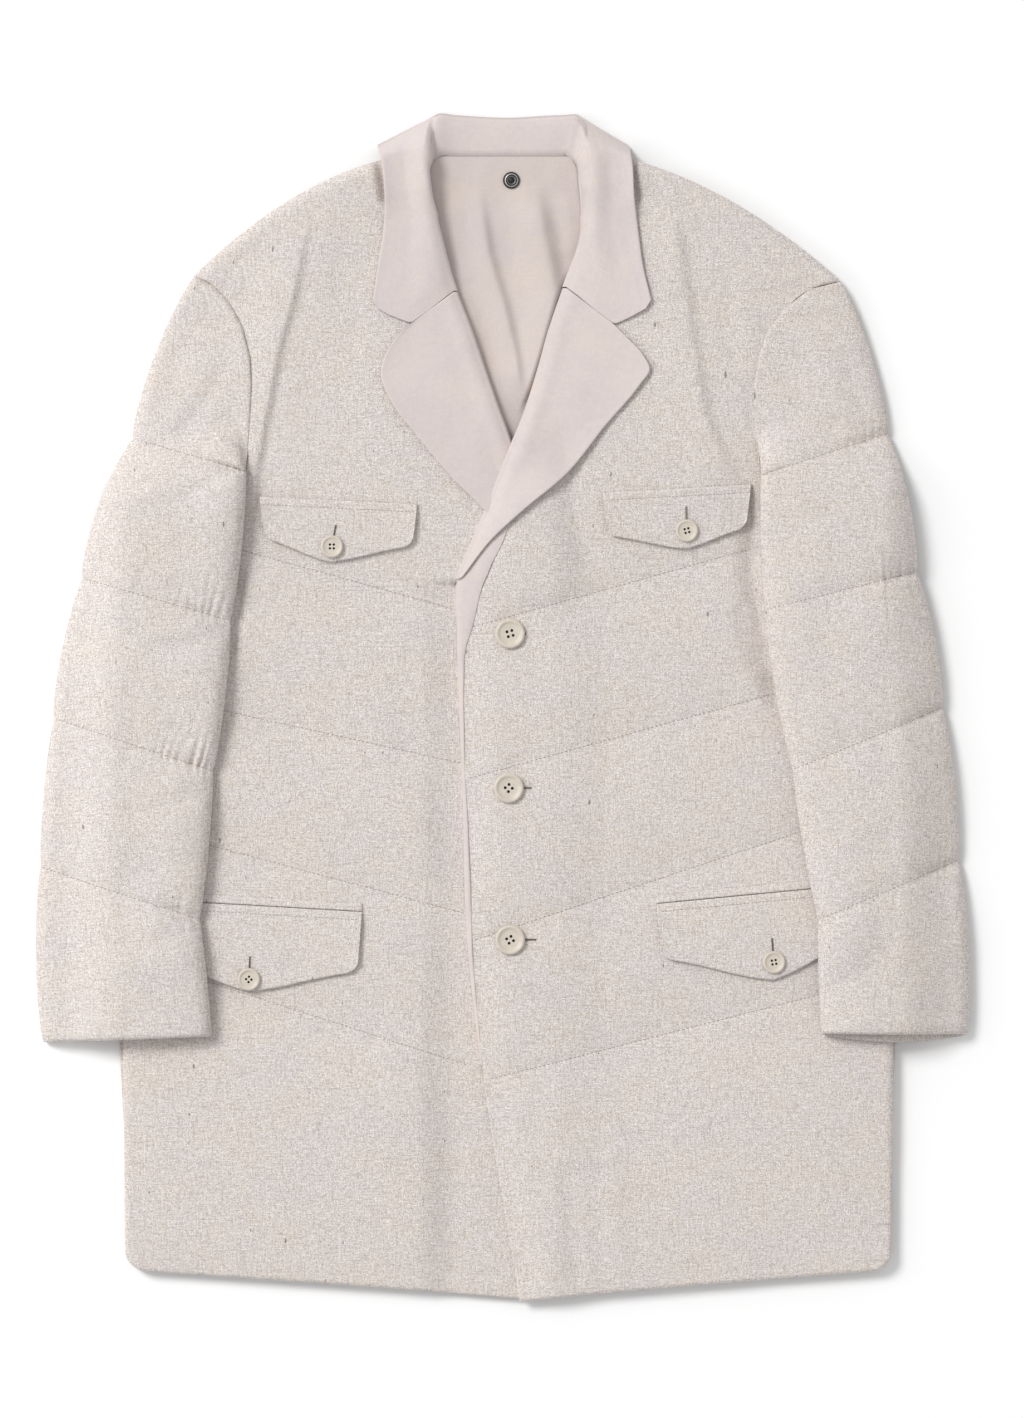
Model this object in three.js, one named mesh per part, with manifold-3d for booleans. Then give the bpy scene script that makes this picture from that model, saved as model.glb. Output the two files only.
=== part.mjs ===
// A padded tweed jacket, laid flat on its back with the front buttoned and the sleeves brought down at its sides.
// Millimetres. +X is the wearer's left, +Y runs from the hem to the collar and +Z is up from the surface it lies on.
// Every cloth piece is a wall between two grids of points: its rows are sections from an inner to an outer edge.
import * as THREE from "three";
import { mergeVertices } from "three/addons/utils/BufferGeometryUtils.js";
import Module from "manifold-3d";

const wasm = await Module();
wasm.setup();

// Thicknesses and levels, from the surface upwards.
const BACK_WALL = 5.5; // padded back
const LINING_WALL = 1.2; // plain linen lining inside the back
const HOLLOW = 1; // room between back and fronts, where the body goes
const FRONT_WALL = 2.8; // a front at its quilting seams
const FRONT_LOFT = 4.5; // what the padding adds between the seams
const PLACKET_LIFT = 3.7; // how far the left front rides up over the right one
const UNDER_SLEEVE_WALL = 5;
const SLEEVE_HOLLOW = 1.2; // room between the two walls of a sleeve
const SLEEVE_HEAD = 3; // how high the sleeve's head starts at the armhole
const TOP_SLEEVE_WALL = 3;
const TOP_SLEEVE_LOFT = 11;
const REVERS_WALL = 3.2; // lapels and collar: two plies of linen
const FLAP_WALL = 2.4;
const FALL_WALL = 2.5; // the collar's fall, folded behind the neck
const SEAM_GAP = 0.4;
const LAY_GAP = 0.7; // slack where one front rides over the other
const FRONT_BASE = BACK_WALL + HOLLOW;
const ROLL_FOOT = BACK_WALL + LINING_WALL + 2 * SEAM_GAP; // where the lapels' and collar's rolls stand on the lining
const BODY_TOP = FRONT_BASE + FRONT_WALL + FRONT_LOFT + 0.5; // what the sleeves lie on

// Reaches of the soft shapes, across the cloth.
const PUFF_REACH = 38; // from a quilting seam to full loft
const SLEEVE_PUFF_REACH = 30;
const RIM_REACH = 9; // how far in an edge rounds off
const SLEEVE_BRIDGE = 44; // from the body's side down to the surface, under a sleeve
const ROLL_LIFT = 2.5; // how far the lapels' roll stands up
const ROLL_REACH = 46;

const clamp01 = (t) => Math.min(1, Math.max(0, t));
const smooth = (t) => clamp01(t) ** 2 * (3 - 2 * clamp01(t));
const dome = (distance, reach) => Math.sqrt(1 - (1 - clamp01(distance / reach)) ** 2);
const mix = (a, b, t) => a + (b - a) * t;
const mixPoint = (p, q, t) => [mix(p[0], q[0], t), mix(p[1], q[1], t)];
const apart = (p, q) => Math.hypot(p[0] - q[0], p[1] - q[1]);

// The two fronts, from the hem up. quilt marks a section that a quilting seam follows.
// cells is how many mesh rows lie between a section and the next.
const FRONT_LEFT_SECTIONS = [
  { name: "hem", ix: 12, iy: -451, ox: 294, oy: -412, cells: 5 },
  { name: "low seam", ix: -15, iy: -283, ox: 297, oy: -203, cells: 5, quilt: true },
  { name: "pocket seam", ix: -27, iy: -178, ox: 298, oy: -70, cells: 5, quilt: true },
  { name: "waist seam", ix: -31, iy: -55, ox: 297, oy: 36, cells: 4, quilt: true },
  { name: "chest seam", ix: -35, iy: 58, ox: 286, oy: 148, cells: 1, quilt: true },
  { name: "break of the lapel", ix: -35, iy: 95, ox: 282, oy: 157, cells: 1 },
  { name: "underarm", ix: -24, iy: 120, ox: 238, oy: 166, cells: 1 },
];
const FRONT_RIGHT_SECTIONS = [
  { name: "hem", ix: 26, iy: -450, ox: -287, oy: -412, cells: 5 },
  { name: "low seam", ix: 28, iy: -289, ox: -290, oy: -187, cells: 5, quilt: true },
  { name: "pocket seam", ix: 30, iy: -172, ox: -292, oy: -86, cells: 5, quilt: true },
  { name: "waist seam", ix: 31, iy: -56, ox: -291, oy: 15, cells: 4, quilt: true },
  { name: "chest seam", ix: 30, iy: 56, ox: -284, oy: 143, cells: 1, quilt: true },
  { name: "break of the lapel", ix: 28, iy: 98, ox: -280, oy: 152, cells: 1 },
  { name: "underarm", ix: 22, iy: 122, ox: -238, oy: 163, cells: 1 },
];
// The roll lines of the lapels and collar, from level with the armhole's foot to the neck.
const ROLL_LEFT = [[-13, 146], [-3, 170], [7, 196], [24, 240], [37, 287], [50, 324], [63, 361], [66, 388], [80, 419]];
const ROLL_RIGHT = [[16, 148], [11, 172], [5, 196], [-11, 240], [-27, 287], [-41, 324], [-51, 361], [-58, 388], [-78, 418]];
// The armhole seams, from the fold of the sleeve up to the shoulder point.
const ARMHOLE_LEFT = [[196, 181], [193, 202], [191, 223], [191, 244], [194, 265], [201, 286], [214, 303], [233, 317], [256, 323]];
const ARMHOLE_RIGHT = [[-196, 181], [-194, 202], [-193, 223], [-192, 244], [-193, 265], [-199, 289], [-209, 308], [-221, 320], [-235, 327]];
const SHOULDER_CROWN = 16; // how far a shoulder line bows up from straight
const HEM_DROP = 15; // how far a hem hangs below the corner that it rounds off into

// The sleeves' sections, from the first quilting seam down. bulgeIn and bulgeOut are how far the padding pushes the
// two edges out in the channel above the section.
const SLEEVE_LEFT_SECTIONS = [
  { name: "upper arm seam", ix: 195, iy: 176, ox: 291, oy: 208, bulgeIn: 0, bulgeOut: 7, cells: 5 },
  { name: "elbow seam", ix: 198, iy: 74, ox: 313, oy: 103, bulgeIn: 2, bulgeOut: 6, cells: 5 },
  { name: "forearm seam", ix: 219, iy: -47, ox: 333, oy: 0, bulgeIn: 3, bulgeOut: 5, cells: 5 },
  { name: "wrist seam", ix: 238, iy: -160, ox: 345, oy: -116, bulgeIn: 2, bulgeOut: 4, cells: 5 },
  { name: "cuff", ix: 241, iy: -247, ox: 352, oy: -248, bulgeIn: 1, bulgeOut: 5, cells: 5 },
];
const SLEEVE_RIGHT_SECTIONS = [
  { name: "upper arm seam", ix: -195, iy: 179, ox: -281, oy: 204, bulgeIn: 0, bulgeOut: 8, cells: 5 },
  { name: "elbow seam", ix: -207, iy: 66, ox: -319, oy: 98, bulgeIn: 3, bulgeOut: 8, cells: 5 },
  { name: "forearm seam", ix: -220, iy: -48, ox: -341, oy: -8, bulgeIn: 3, bulgeOut: 5, cells: 5 },
  { name: "wrist seam", ix: -230, iy: -160, ox: -351, oy: -121, bulgeIn: 2, bulgeOut: 3, cells: 5 },
  { name: "cuff", ix: -221, iy: -249, ox: -349, oy: -254, bulgeIn: 1, bulgeOut: 5, cells: 5 },
];

const BACK_SECTIONS = [
  { name: "hem", ix: -281, iy: -416, ox: 287, oy: -416, cells: 4 },
  { name: "skirt", ix: -291, iy: -268, ox: 297, oy: -268, cells: 4 },
  { name: "waist", ix: -291, iy: -40, ox: 296, oy: -40, cells: 4 },
  { name: "chest", ix: -283, iy: 122, ox: 287, oy: 122, cells: 1 },
  { name: "underarm", ix: -279, iy: 142, ox: 282, oy: 142, cells: 1 },
  { name: "armhole's foot", ix: -237, iy: 154, ox: 237, oy: 154, cells: 1 },
];
const BACK_SHOULDERS = [
  { name: "shoulder points", ix: -235, iy: 327, ox: 256, oy: 323, cells: 2 },
  { name: "mid shoulders", ix: -158, iy: 384, ox: 170, oy: 380, cells: 2 },
  { name: "neck", ix: -92, iy: 412, ox: 93, oy: 413, cells: 1 },
];
const NECK_RISE = 3; // the back's neck line above its corners

const LINING_SECTIONS = [
  { name: "apex", ix: -2, iy: 182, ox: 14, oy: 182, cells: 1 },
  { name: "low", ix: -6, iy: 198, ox: 18, oy: 198, cells: 2 },
  { name: "mid", ix: -26, iy: 252, ox: 38, oy: 252, cells: 2 },
  { name: "shoulder blade", ix: -46, iy: 308, ox: 55, oy: 308, cells: 2 },
  { name: "yoke", ix: -63, iy: 366, ox: 74, oy: 364, cells: 2 },
  { name: "neck", ix: -70, iy: 410, ox: 77, oy: 410, cells: 1 },
];

// Lapels, from the break up to the gorge. The inner edge is the roll, the outer edge is the lapel's own.
const LAPEL_LEFT_SECTIONS = [
  { name: "break", ix: -34, iy: 97, ox: -31, oy: 99, cells: 2 },
  { name: "foot", ix: -21, iy: 128, ox: -9, oy: 127, cells: 2 },
  { name: "lower edge", ix: -9, iy: 155, ox: 16, oy: 150, cells: 2 },
  { name: "crossing", ix: 6, iy: 193, ox: 48, oy: 177, cells: 2 },
  { name: "middle", ix: 19, iy: 228, ox: 77, oy: 213, cells: 2 },
  { name: "upper edge", ix: 30, iy: 264, ox: 104, oy: 245, cells: 1 },
  { name: "tip", ix: 35, iy: 282, ox: 111, oy: 256, cells: 1 },
  { name: "peak", ix: 40, iy: 298, ox: 106, oy: 267, cells: 1 },
  { name: "shoulder of the peak", ix: 44, iy: 309, ox: 95, oy: 279, cells: 1 },
  { name: "gorge", ix: 48, iy: 318, ox: 84, oy: 290, cells: 1 },
];
const LAPEL_RIGHT_SECTIONS = [
  { name: "break", ix: 27, iy: 101, ox: 23, oy: 103, cells: 2 },
  { name: "foot", ix: 20, iy: 134, ox: 5, oy: 128, cells: 2 },
  { name: "crossing", ix: 13, iy: 163, ox: -14, oy: 149, cells: 2 },
  { name: "lower edge", ix: 5, iy: 194, ox: -39, oy: 174, cells: 2 },
  { name: "middle", ix: -8, iy: 232, ox: -64, oy: 204, cells: 2 },
  { name: "upper edge", ix: -17, iy: 258, ox: -87, oy: 235, cells: 1 },
  { name: "tip", ix: -23, iy: 275, ox: -93, oy: 252, cells: 1 },
  { name: "peak", ix: -28, iy: 290, ox: -90, oy: 266, cells: 1 },
  { name: "shoulder of the peak", ix: -32, iy: 303, ox: -80, oy: 282, cells: 1 },
  { name: "gorge", ix: -37, iy: 315, ox: -70, oy: 291, cells: 1 },
];
// The collar, one strip from the left gorge round the neck to the right one. r is the roll, o the outer edge and f the
// foot of the stand. It lies on the fronts (lie 0), turns over the shoulder (1) and runs on under the back (2).
const COLLAR_SECTIONS = [
  { name: "left gorge", rx: 48, ry: 319, ox: 112, oy: 309, fx: 45, fy: 319, lie: 0, cells: 2 },
  { name: "left front", rx: 57, ry: 341, ox: 106, oy: 334, fx: 54, fy: 341, lie: 0, cells: 2 },
  { name: "left side", rx: 64, ry: 367, ox: 102, oy: 363, fx: 61, fy: 367, lie: 0, cells: 2 },
  { name: "left neck", rx: 66, ry: 395, ox: 99, oy: 388, fx: 63, fy: 395, lie: 0, cells: 2 },
  { name: "left shoulder", rx: 65, ry: 424, ox: 97, oy: 417, fx: 61, fy: 412, lie: 0, cells: 2 },
  { name: "left turn", rx: 57, ry: 449, ox: 95, oy: 425, fx: 56, fy: 418, lie: 1, cells: 2 },
  { name: "left back", rx: 44, ry: 449, ox: 70, oy: 404, fx: 43, fy: 418, lie: 2, cells: 2 },
  { name: "centre back", rx: 4, ry: 447, ox: 2, oy: 404, fx: 4, fy: 418, lie: 2, cells: 2 },
  { name: "right back", rx: -37, ry: 449, ox: -64, oy: 404, fx: -36, fy: 418, lie: 2, cells: 2 },
  { name: "right turn", rx: -50, ry: 450, ox: -95, oy: 425, fx: -49, fy: 418, lie: 1, cells: 2 },
  { name: "right shoulder", rx: -60, ry: 424, ox: -93, oy: 417, fx: -55, fy: 412, lie: 0, cells: 2 },
  { name: "right neck", rx: -58, ry: 394, ox: -90, oy: 386, fx: -55, fy: 394, lie: 0, cells: 2 },
  { name: "right side", rx: -51, ry: 366, ox: -91, oy: 363, fx: -48, fy: 366, lie: 0, cells: 2 },
  { name: "right front", rx: -43, ry: 338, ox: -95, oy: 336, fx: -40, fy: 338, lie: 0, cells: 2 },
  { name: "right gorge", rx: -37, ry: 316, ox: -99, oy: 309, fx: -34, fy: 316, lie: 0, cells: 1 },
];
// The lower edges of the collar's two ends, with the notches in them.
const LEFT_END = [[48, 319], [57, 312.5], [70, 302], [84, 290.7], [91, 293], [99, 296.5], [108, 302], [112, 309]];
const RIGHT_END = [[-37, 316], [-46, 309.5], [-58, 300.5], [-70, 291.7], [-78, 294], [-87, 297], [-95, 302], [-99, 309]];
const COLLAR_ACROSS = [0, 0.13, 0.3, 0.44, 0.58, 0.72, 0.86, 1]; // from the roll to the outer edge

// Pocket flaps: the upper edge from ix to ox, and a pointed lower edge with rounded corners.
const FLAPS = [
  { name: "chest_flap_left", side: 1, ix: 75, iy: 163, ox: 188, oy: 169, drop: 33, point: 46, at: 0.56 },
  { name: "chest_flap_right", side: -1, ix: -65, iy: 154, ox: -185, oy: 160, drop: 32, point: 47, at: 0.56 },
  { name: "hip_flap_left", side: 1, ix: 116, iy: -149, ox: 272, oy: -134, drop: 42, point: 66, at: 0.57 },
  { name: "hip_flap_right", side: -1, ix: -107, iy: -155, ox: -264, oy: -146, drop: 46, point: 65, at: 0.55 },
];
const FLAP_LEAN = 3; // how far a flap's foot is drawn in from its head at each end
const FLAP_CORNER = 0.07; // share of the width that a lower corner takes to round
const JET = 6; // width of the piping above a hip pocket

// Buttons: x and y of the centre, and what they sit on.
const FRONT_BUTTON = { radius: 11.3, height: 3.4, pitch: 3.8, hole: 0.95 };
const FLAP_BUTTON = { radius: 8.5, height: 2.8, pitch: 2.9, hole: 0.8 };
const BUTTONS = [
  { name: "front_button_1", x: 5, y: 56, kind: FRONT_BUTTON, turn: 15 },
  { name: "front_button_2", x: 4, y: -61, kind: FRONT_BUTTON, turn: 40 },
  { name: "front_button_3", x: 5, y: -176, kind: FRONT_BUTTON, turn: 30 },
  { name: "chest_button_left", x: 139, y: 134, kind: FLAP_BUTTON, turn: 15 },
  { name: "chest_button_right", x: -130, y: 122, kind: FLAP_BUTTON, turn: 0 },
  { name: "hip_button_left", x: 205, y: -193, kind: FLAP_BUTTON, turn: 10 },
  { name: "hip_button_right", x: -193, y: -206, kind: FLAP_BUTTON, turn: 40 },
];
const BUTTON_CLEARANCE = 0.7; // thread shank under a button
const SNAP = { x: 6, y: 400, radius: 6.4, height: 2.2 };

// The largest folds: a trough from one end to the other, side 1 on the left front and -1 on the right one.
const FOLDS = [
  { name: "left armhole drape", side: 1, fx: 141, fy: 372, tx: 152, ty: 262, width: 9, depth: 2.6 },
  { name: "left underarm drape", side: 1, fx: 152, fy: 262, tx: 184, ty: 172, width: 9, depth: 2.8 },
  { name: "right armhole drape", side: -1, fx: -142, fy: 366, tx: -168, ty: 266, width: 8, depth: 2.8 },
  { name: "right underarm drape", side: -1, fx: -168, fy: 266, tx: -187, ty: 140, width: 8, depth: 2.8 },
  { name: "skirt fold", side: 1, fx: 44, fy: -330, tx: 56, ty: -448, width: 10, depth: 2 },
  { name: "second skirt fold", side: -1, fx: -80, fy: -350, tx: -76, ty: -446, width: 14, depth: 1.6 },
];
const LINING_FOLDS = [
  { name: "centre fold", fx: 12, fy: 392, tx: 2, ty: 268, width: 7, depth: 0.8 },
  { name: "side fold", fx: 42, fy: 372, tx: 26, ty: 262, width: 7, depth: 0.8 },
];

// A smooth line through points, read by index: curve(1.5) is halfway between the second point and the third.
function curveThrough(points) {
  const last = points.length - 1;
  const spans = points.slice(1).map((p, k) => Math.max(apart(p, points[k]), 1e-6));
  const slope = (k, axis) => (points[k + 1][axis] - points[k][axis]) / spans[k];
  const tangent = (k, axis) => {
    if (k === 0) return slope(0, axis);
    if (k === last) return slope(last - 1, axis);
    return (slope(k - 1, axis) * spans[k] + slope(k, axis) * spans[k - 1]) / (spans[k - 1] + spans[k]);
  };
  return (at) => {
    const k = Math.min(last - 1, Math.max(0, Math.floor(at)));
    const t = at - k;
    return [0, 1].map((axis) => {
      const a = (2 * t ** 3 - 3 * t ** 2 + 1) * points[k][axis] + (3 * t ** 2 - 2 * t ** 3) * points[k + 1][axis];
      const b = (t ** 3 - 2 * t ** 2 + t) * tangent(k, axis) + (t ** 3 - t ** 2) * tangent(k + 1, axis);
      return a + b * spans[k];
    });
  };
}

// A straight-sided line through points, read from 0 at its start to 1 at its end.
function polyline(points) {
  const last = points.length - 1;
  return (share) => {
    const at = clamp01(share) * last;
    const k = Math.min(last - 1, Math.floor(at));
    return mixPoint(points[k], points[k + 1], at - k);
  };
}

function distanceToSegment(p, a, b) {
  const along = [b[0] - a[0], b[1] - a[1]];
  const t = clamp01(((p[0] - a[0]) * along[0] + (p[1] - a[1]) * along[1]) / (along[0] ** 2 + along[1] ** 2));
  return apart(p, mixPoint(a, b, t));
}

function distanceToLine(p, points) {
  return Math.min(...points.slice(1).map((q, k) => distanceToSegment(p, points[k], q)));
}

function isInside(p, outline) {
  let inside = false;
  outline.forEach((a, k) => {
    const b = outline[(k + 1) % outline.length];
    const crosses = a[1] > p[1] !== b[1] > p[1];
    if (crosses && p[0] < ((b[0] - a[0]) * (p[1] - a[1])) / (b[1] - a[1]) + a[0]) inside = !inside;
  });
  return inside;
}

// 1 inside an outline and for a shelf's width around it, then falling to 0 over a reach.
function plateau(p, outline, shelf, reach) {
  if (isInside(p, outline)) return 1;
  return smooth(1 - (distanceToLine(p, [...outline, outline[0]]) - shelf) / reach);
}

function foldDepth(p, folds) {
  let depth = 0;
  for (const f of folds) {
    const distance = distanceToSegment(p, [f.fx, f.fy], [f.tx, f.ty]);
    depth = Math.max(depth, f.depth * Math.exp(-((distance / f.width) ** 2)));
  }
  return depth;
}

// Mesh columns, finer towards both edges, where a wall rounds off.
function columns(cells) {
  return Array.from({ length: cells + 1 }, (_, k) => mix(k / cells, 0.5 - 0.5 * Math.cos((Math.PI * k) / cells), 0.6));
}

// Mesh rows, as section indices: sections[k].cells rows from section k to the next. Rows beside a quilting seam or an
// open edge lie closer.
function rowsOf(sections) {
  const rows = [0];
  sections.slice(0, -1).forEach((s, k) => {
    const steps = columns(s.cells);
    steps.slice(1).forEach((t) => rows.push(k + t));
  });
  return rows;
}

// The plan of a panel: at(u, row) is the point at u from the inner edge (0) to the outer edge (1).
// head and foot, where given, are the true lines of the last and first rows; their bend fades out over some rows.
function planOf(sections, { foot, footFade = 1, head, headFade = 1 } = {}) {
  const inner = curveThrough(sections.map((s) => [s.ix, s.iy]));
  const outer = curveThrough(sections.map((s) => [s.ox, s.oy]));
  const last = sections.length - 1;
  const bend = (line, row, u) => {
    const p = line(u);
    const chord = mixPoint(inner(row), outer(row), u);
    return [p[0] - chord[0], p[1] - chord[1]];
  };
  return (u, row) => {
    const p = mixPoint(inner(row), outer(row), u);
    if (foot) {
      const share = clamp01(1 - row / footFade);
      const [dx, dy] = bend(foot, 0, u);
      p[0] += dx * share;
      p[1] += dy * share;
    }
    if (head) {
      const share = clamp01(1 - (last - row) / headFade);
      const [dx, dy] = bend(head, last, u);
      p[0] += dx * share;
      p[1] += dy * share;
    }
    return p;
  };
}

// How far a point of a panel is from each of its four edges.
function edgeDistances(plan, lastRow, u, row) {
  const p = plan(u, row);
  return {
    inner: apart(p, plan(0, row)),
    outer: apart(p, plan(1, row)),
    foot: apart(p, plan(u, 0)),
    head: apart(p, plan(u, lastRow)),
  };
}

// A closed solid between two grids of the same size: upper[row][column] and lower[row][column], each [x, y, z].
function wall(upper, lower) {
  const high = upper.length;
  const wide = upper[0].length;
  const positions = [...upper.flat(), ...lower.flat()].flat();
  const top = (r, c) => r * wide + c;
  const under = (r, c) => high * wide + r * wide + c;
  const faces = [];
  const quad = (a, b, c, d) => faces.push(a, b, c, a, c, d);
  for (let r = 0; r < high - 1; r += 1) {
    for (let c = 0; c < wide - 1; c += 1) {
      quad(top(r, c), top(r, c + 1), top(r + 1, c + 1), top(r + 1, c));
      quad(under(r, c), under(r + 1, c), under(r + 1, c + 1), under(r, c + 1));
    }
    quad(top(r, 0), top(r + 1, 0), under(r + 1, 0), under(r, 0));
    quad(top(r + 1, wide - 1), top(r, wide - 1), under(r, wide - 1), under(r + 1, wide - 1));
  }
  for (let c = 0; c < wide - 1; c += 1) {
    quad(top(0, c + 1), top(0, c), under(0, c), under(0, c + 1));
    quad(top(high - 1, c), top(high - 1, c + 1), under(high - 1, c + 1), under(high - 1, c));
  }
  const geometry = new THREE.BufferGeometry();
  geometry.setAttribute("position", new THREE.Float32BufferAttribute(positions, 3));
  geometry.setIndex(faces);
  return geometry;
}

// A panel as a wall: heights(p, u, row) gives the z of its lower and upper faces.
// Where rows and columns turn clockwise the columns are reversed, so that the faces still point out.
function panelWall(plan, rows, cells, heights) {
  const across = Array.isArray(cells) ? [...cells] : columns(cells);
  const middle = rows[Math.floor(rows.length / 2)];
  const [a, b, c] = [plan(0, middle), plan(1, middle), plan(0, rows[rows.length - 1])];
  const clockwise = (b[0] - a[0]) * (c[1] - a[1]) < (b[1] - a[1]) * (c[0] - a[0]);
  if (clockwise) across.reverse();
  const upper = [];
  const lower = [];
  for (const row of rows) {
    const line = across.map((u) => {
      const p = plan(u, row);
      return { p, z: heights(p, u, row) };
    });
    upper.push(line.map(({ p, z }) => [p[0], p[1], z.upper]));
    lower.push(line.map(({ p, z }) => [p[0], p[1], z.lower]));
  }
  return wall(upper, lower);
}

function toSolid(geometry) {
  const bare = geometry.clone();
  bare.deleteAttribute("normal");
  bare.deleteAttribute("uv");
  const merged = mergeVertices(bare, 1e-4);
  return new wasm.Manifold(
    new wasm.Mesh({
      numProp: 3,
      vertProperties: new Float32Array(merged.getAttribute("position").array),
      triVerts: new Uint32Array(merged.index.array),
    }),
  );
}

function fromSolid(solid) {
  const mesh = solid.getMesh();
  const geometry = new THREE.BufferGeometry();
  geometry.setAttribute("position", new THREE.BufferAttribute(new Float32Array(mesh.vertProperties), 3));
  geometry.setIndex(new THREE.BufferAttribute(new Uint32Array(mesh.triVerts), 1));
  return geometry;
}

// The highest points of finished pieces, over a grid of small cells, for what is laid on them.
const CELL = 3;
const GRID = { left: -420, low: -510, wide: 281, high: 341 };

function reliefOf(geometries) {
  const heights = new Float32Array(GRID.wide * GRID.high);
  const column = (x) => (x - GRID.left) / CELL;
  const line = (y) => (y - GRID.low) / CELL;
  for (const geometry of geometries) {
    const { array } = geometry.getAttribute("position");
    const { array: faces } = geometry.index;
    for (let f = 0; f < faces.length; f += 3) {
      const [a, b, c] = [0, 1, 2].map((k) => array.slice(faces[f + k] * 3, faces[f + k] * 3 + 3));
      const area = (b[0] - a[0]) * (c[1] - a[1]) - (c[0] - a[0]) * (b[1] - a[1]);
      if (area < 1e-6) continue;
      for (let j = Math.ceil(line(Math.min(a[1], b[1], c[1]))); j <= line(Math.max(a[1], b[1], c[1])); j += 1) {
        for (let i = Math.ceil(column(Math.min(a[0], b[0], c[0]))); i <= column(Math.max(a[0], b[0], c[0])); i += 1) {
          const [x, y] = [GRID.left + i * CELL, GRID.low + j * CELL];
          const v = ((x - a[0]) * (c[1] - a[1]) - (c[0] - a[0]) * (y - a[1])) / area;
          const w = ((b[0] - a[0]) * (y - a[1]) - (x - a[0]) * (b[1] - a[1])) / area;
          if (v < 0 || w < 0 || v + w > 1) continue;
          const z = a[2] + v * (b[2] - a[2]) + w * (c[2] - a[2]);
          heights[j * GRID.wide + i] = Math.max(heights[j * GRID.wide + i], z);
        }
      }
    }
  }
  return (p, reach) => {
    let highest = 0;
    for (let j = Math.ceil(line(p[1] - reach)); j <= line(p[1] + reach); j += 1) {
      for (let i = Math.ceil(column(p[0] - reach)); i <= column(p[0] + reach); i += 1) {
        const near = Math.hypot(GRID.left + i * CELL - p[0], GRID.low + j * CELL - p[1]) <= reach;
        if (near) highest = Math.max(highest, heights[j * GRID.wide + i]);
      }
    }
    return highest;
  };
}

const cloth = (color) => new THREE.MeshStandardMaterial({ color, roughness: 0.95, metalness: 0 });
const TWEED = cloth(0xd9cfc8);
const LINEN = cloth(0xd6cbc7);
const HORN = new THREE.MeshStandardMaterial({ color: 0xd3c9ba, roughness: 0.35, metalness: 0 });
const BLACK_METAL = new THREE.MeshStandardMaterial({ color: 0x2b2a2c, roughness: 0.4, metalness: 0.6 });

// Sections of a front, with the ones that follow the roll and the armhole added above the underarm.
function frontSections(lower, roll, armhole) {
  const upper = armhole.map((p, k) => ({ ix: roll[k][0], iy: roll[k][1], ox: p[0], oy: p[1], cells: 1 }));
  return [...lower, ...upper];
}

function outlineOf(sections) {
  return [...sections.map((s) => [s.ix, s.iy]), ...sections.map((s) => [s.ox, s.oy]).reverse()];
}

const frontPlans = new Map();
for (const [side, lower, roll, armhole] of [
  [1, FRONT_LEFT_SECTIONS, ROLL_LEFT, ARMHOLE_LEFT],
  [-1, FRONT_RIGHT_SECTIONS, ROLL_RIGHT, ARMHOLE_RIGHT],
]) {
  const sections = frontSections(lower, roll, armhole);
  const neck = roll[roll.length - 1];
  const point = armhole[armhole.length - 1];
  const head = (u) => {
    const p = mixPoint(neck, point, u);
    return [p[0], p[1] + SHOULDER_CROWN * Math.sin(Math.PI * u) ** 0.8];
  };
  const { ix, iy, ox, oy } = sections[0];
  const foot = (u) => [mix(ix, ox, u), mix(iy, oy - HEM_DROP, u ** 0.9) + HEM_DROP * (1 - dome(1 - u, 0.08))];
  frontPlans.set(side, {
    sections,
    roll,
    plan: planOf(sections, { foot, head, headFade: 5 }),
    outline: outlineOf(sections),
    quilts: lower.filter((s) => s.quilt).map((s) => [[s.ix, s.iy], [s.ox, s.oy]]),
  });
}

// The back's neck rides over the collar's fall.
const neckLift = (p) => (FALL_WALL + SEAM_GAP) * clamp01((p[1] - 340) / 62);

// How far the left front has to climb over the right one and its lapel.
const lapelRightOutline = outlineOf(LAPEL_RIGHT_SECTIONS);
const placketLift = (p) =>
  PLACKET_LIFT * plateau(p, frontPlans.get(-1).outline, 7, 24) +
  (REVERS_WALL + 3) * plateau(p, lapelRightOutline, 10, 30) * smooth((250 - p[1]) / 60);

// The face of a front at a point away from its rims, before anything is laid on it.
function frontFace(side, p) {
  const { quilts, roll } = frontPlans.get(side);
  const toQuilt = Math.min(...quilts.map((line) => distanceToLine(p, line)));
  const toPlacket = side === 1 ? p[0] + 35 : -46 - p[0]; // the right front stays thin under the left one
  const toFacing = p[1] < 95 ? toPlacket : Math.min(Math.max(toPlacket, 0), distanceToLine(p, roll));
  const loft = FRONT_LOFT * dome(toQuilt, PUFF_REACH) * smooth(toFacing / 34);
  const fold = foldDepth(p, FOLDS.filter((f) => f.side === side));
  const stand = ROLL_LIFT * smooth(1 - distanceToLine(p, roll) / ROLL_REACH) * smooth((p[1] - 160) / 50);
  const bed = FRONT_BASE + neckLift(p) + (side === 1 ? placketLift(p) : 0);
  const lower = bed + stand;
  return { bed: Math.max(bed, ROLL_FOOT + neckLift(p)), lower, upper: lower + FRONT_WALL + Math.max(0, loft - fold) };
}

// The x of a front's roll line at a height y.
function rollX(side, y) {
  const { plan, sections } = frontPlans.get(side);
  let [low, high] = [4, sections.length - 1];
  for (let k = 0; k < 30; k += 1) {
    const middle = (low + high) / 2;
    if (plan(0, middle)[1] < y) low = middle;
    else high = middle;
  }
  return plan(0, low)[0];
}

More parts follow.
